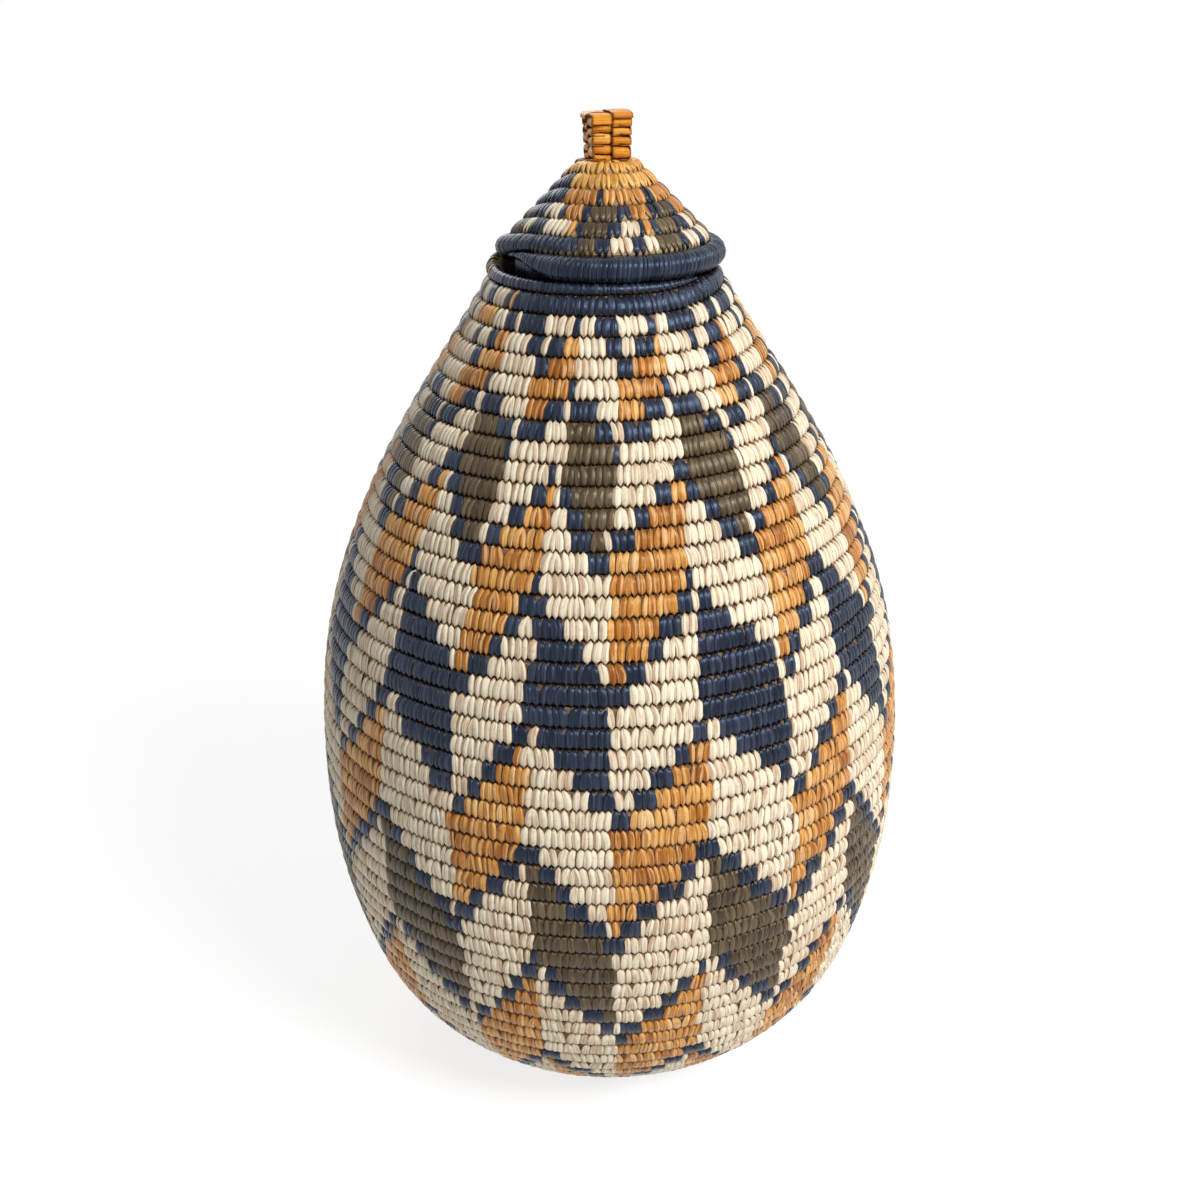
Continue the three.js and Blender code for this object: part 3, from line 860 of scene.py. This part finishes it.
# Each leaf: its tones, then its edge colour (its dark ribs, and also painted shade in the seams), then its
# tip colour (painted shade at the ends, a paler straw for the tan), then its roughness.
PALM = [
    palm_leaf(
        "palm_natural",
        [(0, (0.68, 0.53, 0.37)), (0.25, (0.82, 0.7, 0.52)), (1, (0.88, 0.8, 0.62))],
        (0.44, 0.24, 0.13), (0.34, 0.16, 0.075), 0.46, streak=0.6, gloss=0.3,
    ),
    palm_leaf(
        "palm_rust",
        [
            (0, (0.34, 0.11, 0.01)), (0.4, (0.54, 0.2, 0.025)),
            (0.75, (0.74, 0.36, 0.08)), (1, (0.88, 0.57, 0.29)),
        ],
        (0.14, 0.03, 0.004), (0.16, 0.04, 0.006), 0.32, gloss=0.45, tint=(1, 0.82, 0.6),
    ),
    palm_leaf(
        "palm_navy",
        [(0, (0.004, 0.005, 0.008)), (0.5, (0.008, 0.01, 0.018)), (1, (0.034, 0.041, 0.066))],
        (0.003, 0.003, 0.005), (0.004, 0.004, 0.006), 0.25, streak=0.65, gloss=0.48, tint=(0.45, 0.62, 1),
    ),
    palm_leaf(
        "palm_brown",
        [(0, (0.032, 0.018, 0.007)), (0.5, (0.066, 0.041, 0.018)), (1, (0.15, 0.105, 0.052))],
        (0.014, 0.007, 0.003), (0.018, 0.009, 0.004), 0.3, gloss=0.5, tint=(1, 0.88, 0.7),
    ),
    palm_leaf(
        "palm_tan",
        [(0, (0.56, 0.23, 0.03)), (0.5, (0.74, 0.36, 0.07)), (1, (0.88, 0.53, 0.17))],
        (0.24, 0.07, 0.01), (0.6, 0.4, 0.19), 0.32, tip_share=0.6, gloss=0.45, tint=(1, 0.85, 0.6),
    ),
]
# The knob's edge and tip colours darken the fold ends and the back of each roll as painted shade.
KNOB_PALM = palm_leaf(
    "palm_knob",
    [(0, (0.66, 0.22, 0.015)), (0.5, (0.8, 0.32, 0.03)), (1, (0.9, 0.46, 0.1))],
    (0.26, 0.07, 0.005), (0.4, 0.14, 0.03), 0.36, streak=0.3, tip_share=0.2, gloss=0.22, tint=(1, 0.8, 0.5),
)
# The body's and the collar's grass is far darker than the lid's straw: painted shade for the gaps between
# the stitches' ends.
GRASS_WITH_PAINTED_SHADE = grass_bundle("grass_bundle", (0.05, 0.02, 0.01), (0.17, 0.09, 0.042), (0.5, 0.37, 0.23))
STRAW = grass_bundle("lid_straw", (0.18, 0.09, 0.035), (0.48, 0.34, 0.17), (0.76, 0.64, 0.43))
# The plait's inside is near black: painted shade between the knob's folds.
KNOB_INSIDE_SHADE = grass_bundle("knob_inside_painted_shade", (0.02, 0.005, 0.001), (0.05, 0.015, 0.003), (0.09, 0.03, 0.008))


# Rows and their grass bundles

def coil_depth(bottom, top, most):
    """How deep the coil is where its row has these seams."""
    return np.minimum(most, DEPTH_TO_HEIGHT * (top - bottom))


def make_bundle(name, place, turn, bottom, top, depth, body_name):
    """The grass bundle under the strips of some rows, one tube."""
    a = np.arange(BUNDLE_SIDES) / BUNDLE_SIDES * 2 * math.pi
    share, rise = (signed_power(x, BUNDLE_SQUARENESS)[None, :] for x in (np.sin(a), np.cos(a)))
    room = np.minimum(BUNDLE_INSET, 0.25 * depth)
    half = (top - bottom) / 2 - BUNDLE_CLEAR
    distance = ((top + bottom) / 2)[:, None] + half[:, None] * share
    inset = (depth / 2)[:, None] - (depth / 2 - room)[:, None] * rise
    rings = round_axis(*place(distance, inset), turn[:, None])
    if body_name == "lid":
        rings = on_lid(rings)
    # The darker grass is painted shade in the gaps between the stitches.
    dress(tube_object(name, rings), None, body_name, GRASS_WITH_PAINTED_SHADE)


# The body

def wall_node(middle):
    """The CAD node whose place a stitch has, by how far up the wall its middle is."""
    if middle > WALL_LENGTH:
        return "mouth_coil"
    if middle > WALL_LENGTH - ROW:
        return "neck_coil"
    if middle < 0:
        return "base_start" if BASE_RADIUS + middle < BASE_START_RADIUS else "base_coil"
    band_rows = (WALL_ROWS - 1) / WALL_BANDS
    lasts = [math.floor((band + 1) * band_rows + 0.5) for band in range(WALL_BANDS)]
    return f"wall_coils_{1 + int(np.searchsorted(lasts, middle / ROW)):02d}"


def body_row(row, turn):
    """Lower and upper seam and depth of a body row. Row 0 ends at the mouth's edge."""
    top = np.where(row == 0, body_edge(turn), body_seam(row - 1, turn))
    bottom = body_seam(row, turn)
    return bottom, top, coil_depth(bottom, top, COIL_DEPTH)


def make_body():
    counts = []
    for row in range(LAST_ROW + 1):
        middle = (body_seam(row - 1, 0.0) + body_seam(row, 0.0)) / 2
        radius, _ = body.place(middle, 0)
        counts.append((row, max(FEWEST_STITCHES, round(2 * math.pi * float(radius) / STITCH_PITCH))))
    row, centre, width, tip = sew_rows(counts, -0.5, 0.5)
    bottom, top, depth = body_row(row, centre)
    keep = top - bottom > THINNEST_STITCH
    row, centre, width, tip, bottom, top, depth = take(keep, row, centre, width, tip, bottom, top, depth)
    degrees = centre * 360
    bulge = [PATCH_FROM, PATCH_FROM + PATCH_RISE, PATCH_TO - PATCH_RISE, PATCH_TO]
    lift = PATCH_LIFT * np.interp(degrees, bulge, [0, 1, 1, 0]) * (row < 1)
    lift = lift[:, None, None]
    points, marks = sewn_strips(body.place, centre, width, tip, bottom, top, depth, lift=lift)
    points[..., 2] = points[..., 2].clip(0)
    jitter = random.normal(0, DYE_JITTER, len(row))
    dyes = np.array([body_dye(*x) for x in zip(row, degrees, jitter, strict=True)])
    nodes = np.array([wall_node(x) for x in (top + bottom) / 2])
    dress_strips(points, marks, nodes, dyes, "basket")


def make_body_bundle():
    """The grass bundle of the body, which winds down from the mouth."""
    steps = np.arange(0, (LAST_ROW + 1) * BUNDLE_STEPS + 1)
    turn = 0.5 - (steps % BUNDLE_STEPS) / BUNDLE_STEPS
    bottom, top, depth = body_row(steps // BUNDLE_STEPS, turn)
    turn, bottom, top, depth = take(top - bottom > THINNEST_BUNDLE, turn, bottom, top, depth)
    make_bundle("grass_bundle_body", body.place, turn, bottom, top, depth, "basket")


# The lid

def on_lid(points):
    """Lid points lie round the lid's own axis."""
    return points + np.array([LID_AXIS, 0, 0])


def lid_node(middle):
    """The CAD node whose place a stitch has, by how far up the slope its middle is."""
    if middle < LID_ROW * LID_PATTERN_ROWS:
        return "lid_pattern_coils"
    if middle < LID_ROW * LID_ROWS:
        return "lid_crown_coils"
    return "lid_start"


def make_lid_rows():
    counts = []
    for row in range(LID_ROWS, -1, -1):
        radius, _ = lid.place(LID_ROW * (LID_ROWS - row + 0.5), 0)
        counts.append((row, max(FEWEST_LID_STITCHES, round(2 * math.pi * float(radius) / LID_STITCH_PITCH))))
    row, centre, width, tip = sew_rows(counts, 0.0, 1.0)
    bottom, top = lid_seam(row, centre), lid_seam(row - 1, centre)
    degrees = LID_CUT + centre * 360
    # Where the lid's coil is still the rim, the rim's own strips go round it.
    keep = ((row < LID_ROWS) | (degrees > LID_CLIMB_TO)) & (top - bottom > THINNEST_LID_STITCH)
    row, centre, width, tip, bottom, top, degrees = take(keep, row, centre, width, tip, bottom, top, degrees)
    cut = LID_CUT / 360
    depth = np.full(len(row), LID_DEPTH)
    points, marks = sewn_strips(lid.place, centre + cut, width, tip + cut, bottom, top, depth, flip=True)
    jitter = random.normal(0, LID_DYE_JITTER, len(row))
    dyes = np.array([lid_dye(*x) for x in zip(row, degrees, jitter, strict=True)])
    nodes = np.array([lid_node(x) for x in (top + bottom) / 2])
    dress_strips(on_lid(points), marks, nodes, dyes, "lid")


def rim_section(angle):
    """The end of the lid's coil, from its thin tip round the rim into the cone: its middle up
    the slope, its half sizes, and how far it has joined the cone."""
    span = LID_CLIMB_TO - LID_CLIMB_FROM
    joined = smooth((angle - LID_CLIMB_FROM) / span)
    full = smooth((angle + 360 - RIM_START) / (RIM_FULL - RIM_START))
    radius = RIM_TIP_RADIUS + (RIM_RADIUS - RIM_TIP_RADIUS) * full
    # The thin end hangs close under the coil that climbs above it.
    above = smooth((angle + 360 - LID_CLIMB_FROM) / span)
    under = -(2 * RIM_RADIUS + SEAT_GAP / 2) * (1 - above) - radius
    low = np.where(angle + 360 < RIM_FULL, np.maximum(-RIM_RADIUS, under), -RIM_RADIUS)
    middle = low + (LID_ROW / 2 - low) * joined
    along = radius + (LID_ROW / 2 - radius) * joined
    deep = radius + (LID_DEPTH / 2 - radius) * joined
    return middle, along, deep, joined


def make_rim():
    start, end = RIM_START - 360, LID_CLIMB_TO
    count = round(math.radians(end - start) * (RIM_CENTRE[0] + RIM_RADIUS) / RIM_STITCH_PITCH)
    centre, width, _, _ = sew(count, start / 360, end / 360)
    points, marks = wrapped_strips(centre, width, *rim_section(centre * 360))
    nodes = np.where(centre * 360 < LID_CUT, "lid_rim_coil", "lid_pattern_coils")
    dress_strips(on_lid(points), marks, nodes, np.full(count, NAVY), "lid", "_rim")


def make_lid_bundle():
    """The grass bundle of the lid, one winding tube from the rim's tip to the top."""
    angle = np.arange(RIM_START - 360, 360 * LID_ROWS + LID_BUNDLE_PAST, 360 / BUNDLE_STEPS)
    turn = angle / 360
    middle, along, deep, joined = rim_section(angle)
    from_cut = (angle - LID_CUT) / 360
    row = LID_ROWS - np.floor(from_cut)
    on_rim = angle < LID_CLIMB_TO
    inside = along - RIM_BUNDLE_INSET
    bottom = np.where(on_rim, middle - inside, lid_seam(row, from_cut % 1))
    top = np.where(on_rim, middle + inside, lid_seam(row - 1, from_cut % 1))
    keep = top - bottom > THINNEST_LID_BUNDLE
    turn, bottom, top, deep, joined = (x[:, None] for x in take(keep, turn, bottom, top, deep, joined))
    a = np.arange(BUNDLE_SIDES)[None, :] / BUNDLE_SIDES * 2 * math.pi
    distance = (top + bottom) / 2 + (top - bottom) / 2 * np.sin(a)
    room = np.minimum(BUNDLE_INSET, 0.4 * deep)
    inset = LID_DEPTH / 2 + RIM_INSET * (1 - joined) - (deep - room) * np.cos(a)
    rings = on_lid(round_axis(*lid.place(distance, inset), turn))
    dress(tube_object("grass_bundle_lid", rings), None, "lid", STRAW)


def collar_place(distance, inset):
    return COLLAR_RADIUS - inset, distance


def collar_row(wound):
    """Lower and upper seam and depth of the collar's coil after so many turns."""
    bottom = COLLAR_FLOOR + COLLAR_PITCH * np.clip(wound - 1, 0, COLLAR_ROWS)
    top = COLLAR_FLOOR + COLLAR_PITCH * np.clip(wound, 0, COLLAR_ROWS)
    return bottom, top, coil_depth(bottom, top, COLLAR_THICKNESS - COLLAR_INSET)


def make_collar():
    """The rows under the lid that keep it in the mouth, and the grass bundle in them."""
    count = round(2 * math.pi * COLLAR_RADIUS / STITCH_PITCH)
    counts = [(row, count) for row in range(COLLAR_ROWS, -1, -1)]
    row, centre, width, tip = sew_rows(counts, 0.0, 1.0)
    bottom, top, depth = collar_row(row + centre)
    keep = top - bottom > THINNEST_COLLAR
    stitches = take(keep, centre, width, tip, bottom, top, depth)
    points, marks = sewn_strips(collar_place, *stitches)
    points[..., 2] = points[..., 2].clip(COLLAR_FLOOR)
    nodes = np.full(len(points), "lid_collar_coils")
    # The collar's strips are navy, chosen so that the gap under the rim looks dark: painted shade.
    dress_strips(on_lid(points), marks, nodes, np.full(len(points), NAVY), "lid")
    turn = np.linspace(COLLAR_ROWS + 1, 0, (BUNDLE_STEPS + 1) * (COLLAR_ROWS + 1))
    bottom, top, depth = collar_row(turn)
    turn, bottom, top, depth = take(top - bottom > THINNEST_COLLAR, turn, bottom, top, depth)
    make_bundle("grass_bundle_collar", collar_place, turn, bottom, top, depth, "lid")


# The knob

# All in mm: a strip's thickness, how far a fold goes back in, the radius of its roll, and how
# much a fold differs from the next.
FOLD_THICKNESS = 0.42
FOLD_DEPTH = 3.0
FOLD_ROLL = 1.35
FOLD_STRAY = 0.12
FOLD_STRAY_MOST = 0.25
# How much a fold's height, middle and face wave, how much it leans, and how far its ends sink.
FOLD_WAVES = (0.06, 0.1, 0.12)
FOLD_LEAN = 0.8
FOLD_END_SINK = 0.35
# The share of a fold's half height that is rolled, and how much slimmer the knob is at its foot.
ROLLED = 0.75
KNOB_TAPER = 0.05
# Heights of the folds above the knob's foot, in the left and the right column of a face.
LEFT_FOLDS = [(-2.2, -0.1), (0.4, 3.2), (3.7, 7.2), (7.6, 10.3)]
RIGHT_FOLDS = [(-1.3, 2.5), (3.1, 5.9), (6.4, 8.9), (9.4, 12.5)]
CORNERS = ["front_left", "front_right", "back_right", "back_left"]
# The straps over the top, by piece and CAD node: the face each starts from, its sides across
# it, its ends out from the axis, its drops over the edges, its height and its crown.
STRAPS = [
    ("knob_strap_front_to_back", "knob_long_strap", [
        (0, (0.15, KNOB_HALF + 0.1), (KNOB_HALF, KNOB_HALF), (1.4, 2.0), 0.65, 0.6),
    ]),
    ("knob_strap_across", "knob_cross_strap", [
        (3, (-KNOB_HALF, 0.1), (KNOB_HALF, 0.6), (1.6, 0.0), 0.25, 0.25),
        (0, (0.2 - KNOB_HALF, 0.0), (KNOB_HALF, -0.4), (3.0, 0.0), 0.25, 0.1),
    ]),
]
# A strap bends down over its edge within this much, by so much, and hangs so far outside it.
STRAP_EASE = (1.3, 0.45)
STRAP_PROUD = 0.45
# How much it waves up and out, and how much flatter its crown is at its sides.
STRAP_WAVES = (0.06, 0.05)
STRAP_FLATTER = 0.25
# The plait's inside, a dark piece that stands for the shade between the folds: how far in from the faces,
# and its height and size ring by ring.
CORE_INSET = 1.6
CORE_SIDES = 16
CORE_RINGS = [(-2.4, 0.75), (-1.6, 0.9), (6.5, 0.95), (12.8, 1.0), (13.5, 0.9)]
# The tails' knot: the turns of its bands, their half width as a share of its reach, and how
# much smaller each is than the last. Then the tails through the lid.
KNOT_TURNS = (0.3, 1.35, 2.4)
KNOT_BAND = 0.45
KNOT_STEP = 0.09
TAILS = 4
TAIL_TURN = 0.3
TAIL_HALF = 1.9
TAIL_OUT = 2.1
TAIL_OVERLAP = (1, 0.1)


def knob_point(across, out, height, face):
    """A point on one face of the knob: across it, out from the axis, and up from its foot."""
    angle = KNOB_TURN + face * math.pi / 2
    x = LID_AXIS + across * np.cos(angle) + out * np.sin(angle)
    y = across * np.sin(angle) - out * np.cos(angle)
    return np.stack([x, y, KNOB_FLOOR + height + np.zeros_like(x)], axis=-1)


def fold(face, left, right, low, high):
    """One strip folded back on itself, seen on a face as a flat roll."""
    u = np.linspace(0, 1, 9)[None, :]
    v = np.linspace(-1, 1, 15)[:, None]
    bend = np.clip(np.abs(v) / ROLLED, 0, 1) * math.pi / 2 * np.sign(v)
    back = np.clip((np.abs(v) - ROLLED) / (1 - ROLLED), 0, 1)
    odd = random.normal(0, FOLD_STRAY, 3).clip(-FOLD_STRAY_MOST, FOLD_STRAY_MOST)
    half = (high - low) / 2 * (1 + FOLD_WAVES[0] * np.sin(6 * u + odd[0] * 30))
    middle = (high + low) / 2 + FOLD_LEAN * odd[1] * (u - 0.5)
    middle = middle + FOLD_WAVES[1] * np.sin(5 * u + 9 * odd[2])
    roll = FOLD_ROLL * (1 + odd[0])
    size = 1 - KNOB_TAPER * (1 - (low + high) / 2 / (KNOB_TOP - KNOB_FLOOR))
    out = KNOB_HALF * size - roll + roll * np.cos(bend) - back * FOLD_DEPTH
    out = out + FOLD_WAVES[2] * np.sin(4 * u + 20 * odd[1]) - FOLD_END_SINK * np.abs(2 * u - 1) ** 6
    across = (left + (right - left) * u) * size + 0.1 * odd[2] * v
    return knob_point(across + 0 * v, out, middle + half * np.sin(bend), face)


def strap_over(face, sides, ends, drops, base, crown):
    """A strip over the top, from one face towards the opposite one."""
    v = np.linspace(0, 1, 25)[:, None]
    u = np.linspace(0, 1, 9)[None, :]
    length = ends[0] + ends[1]
    way = v * (length + drops[0] + drops[1]) - drops[0]
    along = np.clip(way, 0, length)
    fall = np.clip(-way, 0, None) + np.clip(way - length, 0, None)
    ease = np.clip(1 - np.minimum(along, length - along) / STRAP_EASE[0], 0, 1)
    arch = crown * np.sin(math.pi * along / length) * (1 - STRAP_FLATTER * (2 * u - 1) ** 2)
    height = KNOB_TOP - KNOB_FLOOR + base + arch - STRAP_EASE[1] * ease**2 - fall
    height = height + STRAP_WAVES[0] * np.sin(9 * v + 3 * u) - STRAP_WAVES[0]
    proud = STRAP_PROUD * np.clip(fall / 0.4, 0, 1) * np.where(way < 0, 1, -1)
    out = ends[0] - along + STRAP_WAVES[1] * np.sin(7 * u) + proud
    across = sides[0] + (sides[1] - sides[0]) * u + 0 * v
    return knob_point(across, out, height, face)


def make_knob():
    folds = {name: [] for name in CORNERS}
    for face in range(4):
        for low, high in LEFT_FOLDS:
            folds[CORNERS[face]].append(fold(face, 0.25 - KNOB_HALF, -0.15, low, high))
        for low, high in RIGHT_FOLDS:
            right = CORNERS[(face + 1) % 4]
            folds[right].append(fold(face, 0.15, KNOB_HALF - 0.05, low, high))
    for name in CORNERS:
        made = sheet_object(f"knob_folds_{name}", folds[name])
        dress(made, f"knob_column_{name}", "lid", KNOB_PALM)
    for name, node, straps in STRAPS:
        made = sheet_object(name, [strap_over(*strap) for strap in straps])
        dress(made, node, "lid", KNOB_PALM)


def make_knob_core():
    """A dark piece inside the plait, painted shade seen between the folds."""
    a = 2 * math.pi * np.arange(CORE_SIDES) / CORE_SIDES
    square = (KNOB_HALF - CORE_INSET) / np.maximum(abs(np.cos(a)), abs(np.sin(a)))
    x, y = square * np.cos(a), -square * np.sin(a)
    rings = [knob_point(x * size, y * size, height, 0) for height, size in CORE_RINGS]
    core = tube_object("knob_core", np.array(rings))
    dress(core, None, "lid", KNOB_INSIDE_SHADE)


def under_lid(out, across, turn, height):
    """Lid points out from the axis and across that way, turned round the axis."""
    x = out * math.cos(turn) - across * math.sin(turn)
    y = out * math.sin(turn) + across * math.cos(turn)
    return on_lid(np.stack([x, y, height], axis=-1))


def make_tail_knot():
    """The tails of the knob's strips under the lid's start, in a flat knot."""
    low, high = node_box("knob_tail_knot")
    knot_high = high[2] - LID_DEPTH - SEAT_GAP
    middle, thick = (low[2] + knot_high) / 2, (knot_high - low[2]) / 2
    v = np.linspace(0.02, 0.98, 33)[:, None] * 2 * math.pi
    u = np.linspace(-1, 1, 7)[None, :]
    rounded = np.sqrt(1 - (KNOT_BAND * u) ** 2)
    bands = []
    for index, turn in enumerate(KNOT_TURNS):
        smaller = 1 - KNOT_STEP * index
        reach = (high[1] - low[1]) / 2 * smaller
        out = reach * np.cos(v) * rounded
        height = middle + thick * smaller * np.sin(v) * rounded
        bands.append(under_lid(out, KNOT_BAND * reach * u + 0 * v, turn, height)[:, ::-1])
    t = np.linspace(knot_high - TAIL_OVERLAP[0], high[2] + TAIL_OVERLAP[1], 9)[:, None]
    w = np.linspace(-TAIL_HALF, TAIL_HALF, 5)[None, :]
    for index in range(TAILS):
        turn = 2 * math.pi * (index + TAIL_TURN) / TAILS
        bands.append(under_lid(TAIL_OUT + 0 * (t + w), w + 0 * t, turn, t + 0 * w))
    made = sheet_object("knob_tails", bands)
    dress(made, "knob_tail_knot", "lid", KNOB_PALM)


make_body()
make_body_bundle()
make_lid_rows()
make_rim()
make_lid_bundle()
make_collar()
make_knob()
make_knob_core()
make_tail_knot()


# Stage, light and camera

scene = bpy.context.scene
FLOOR_REACH = 6.0
FLOOR_GLOW = 0.8
FLOOR_SEEN = 0.33
FLOOR_COLOUR = 0.8
FLOOR_FADE = (0.35, 1.1)
WORLD_LIGHT = 0.24
WORLD_COLOUR = (0.93, 0.96, 1)
LAMP_COLOUR = (1, 0.985, 0.95)
KEY_SIDE = math.radians(46)
KEY_RISE = math.radians(41)
KEY_DISTANCE = 1.6
KEY_SIZE = 0.6
KEY_POWER = 24.3
BACK_PLACE = (-0.55, 1.5, 1.15)
BACK_SIZE = 1.2
BACK_POWER = 11
# The camera stands at the photograph's viewing angle, in metres and millimetres of lens.
AIM_HEIGHT = 0.192
CAMERA_RISE = math.radians(24.1)
CAMERA_DISTANCE = 0.5688
CAMERA_LENS = 41.35
CAMERA_SENSOR = 36
CAMERA_ROLL = -0.0105
CAMERA_NEAR = 0.01
AXIS_RIGHT_OF_MIDDLE = 8.5 / 1200


def background_rays(tree):
    """1 for the rays that show the background: camera, mirror and through rays."""
    path = add(tree, "ShaderNodeLightPath")
    total = path.outputs["Is Camera Ray"]
    for name in ("Is Glossy Ray", "Is Transmission Ray"):
        both = add(tree, "ShaderNodeMath", operation="MAXIMUM")
        tree.links.new(total, both.inputs[0])
        tree.links.new(path.outputs[name], both.inputs[1])
        total = both.outputs[0]
    return total


def plain_shader(tree, kind, colour, strength=None):
    made = add(tree, kind)
    made.inputs[0].default_value = (*colour, 1)
    if strength is not None:
        made.inputs[1].default_value = strength
    return made.outputs[0]


def joined_shader(tree, kind, *values):
    """A mix or sum of shaders. A mix starts with its factor."""
    made = add(tree, kind)
    for socket, value in zip(made.inputs, values, strict=True):
        tree.links.new(value, socket)
    return made.outputs[0]


def make_stage():
    """A pale floor that shows the shadow and is as white as the background far out."""
    mesh = bpy.data.meshes.new("floor")
    r = FLOOR_REACH
    mesh.from_pydata([(-r, -r, 0), (r, -r, 0), (r, r, 0), (-r, r, 0)], [], [(0, 1, 2, 3)])
    floor = bpy.data.objects.new("floor", mesh)
    scene.collection.objects.link(floor)
    material, tree = node_tree("floor")
    plain = plain_shader(tree, "ShaderNodeBsdfDiffuse", [FLOOR_COLOUR] * 3)
    shade = plain_shader(tree, "ShaderNodeBsdfDiffuse", [FLOOR_SEEN] * 3)
    glow = plain_shader(tree, "ShaderNodeEmission", (1, 1, 1), FLOOR_GLOW)
    white = plain_shader(tree, "ShaderNodeEmission", (1, 1, 1), 1)
    near = joined_shader(tree, "ShaderNodeAddShader", shade, glow)
    where = add(tree, "ShaderNodeNewGeometry")
    distance = add(tree, "ShaderNodeVectorMath", operation="LENGTH")
    tree.links.new(where.outputs["Position"], distance.inputs[0])
    fade = mapped(tree, distance.outputs["Value"], *FLOOR_FADE)
    seen = joined_shader(tree, "ShaderNodeMixShader", fade, near, white)
    whole = joined_shader(tree, "ShaderNodeMixShader", background_rays(tree), plain, seen)
    output = add(tree, "ShaderNodeOutputMaterial")
    tree.links.new(whole, output.inputs[0])
    mesh.materials.append(material)


def make_world():
    world = bpy.data.worlds.new("studio")
    scene.world = world
    world.use_nodes = True
    tree = world.node_tree
    tree.nodes.clear()
    light = plain_shader(tree, "ShaderNodeBackground", WORLD_COLOUR, WORLD_LIGHT)
    white = plain_shader(tree, "ShaderNodeBackground", (1, 1, 1), 1)
    whole = joined_shader(tree, "ShaderNodeMixShader", background_rays(tree), light, white)
    output = add(tree, "ShaderNodeOutputWorld")
    tree.links.new(whole, output.inputs[0])


def area_light(name, place, size, power):
    """A round lamp that shines at the middle of the object."""
    data = bpy.data.lights.new(name, "AREA")
    data.shape = "DISK"
    data.size = size
    data.energy = power
    data.color = LAMP_COLOUR
    made = bpy.data.objects.new(name, data)
    made.location = place
    way = Vector((0, 0, AIM_HEIGHT)) - Vector(place)
    made.rotation_euler = way.to_track_quat("-Z", "Y").to_euler()
    scene.collection.objects.link(made)


def make_lights():
    out = KEY_DISTANCE * math.cos(KEY_RISE)
    up = KEY_DISTANCE * math.sin(KEY_RISE) + AIM_HEIGHT
    key_place = (out * math.sin(KEY_SIDE), -out * math.cos(KEY_SIDE), up)
    area_light("key", key_place, KEY_SIZE, KEY_POWER)
    area_light("back", BACK_PLACE, BACK_SIZE, BACK_POWER)


def make_camera():
    data = bpy.data.cameras.new("camera")
    data.lens = CAMERA_LENS
    data.sensor_width = CAMERA_SENSOR
    data.shift_x = -AXIS_RIGHT_OF_MIDDLE
    data.clip_start = CAMERA_NEAR
    camera = bpy.data.objects.new("camera", data)
    back = Vector((0, -math.cos(CAMERA_RISE), math.sin(CAMERA_RISE)))
    place = Vector((0, 0, AIM_HEIGHT)) + back * CAMERA_DISTANCE
    turn = (-back).to_track_quat("-Z", "Y").to_matrix().to_4x4()
    camera.matrix_world = Matrix.Translation(place) @ turn @ Matrix.Rotation(CAMERA_ROLL, 4, "Z")
    scene.collection.objects.link(camera)
    scene.camera = camera


make_stage()
make_world()
make_lights()
make_camera()
scene.view_settings.view_transform = "Standard"
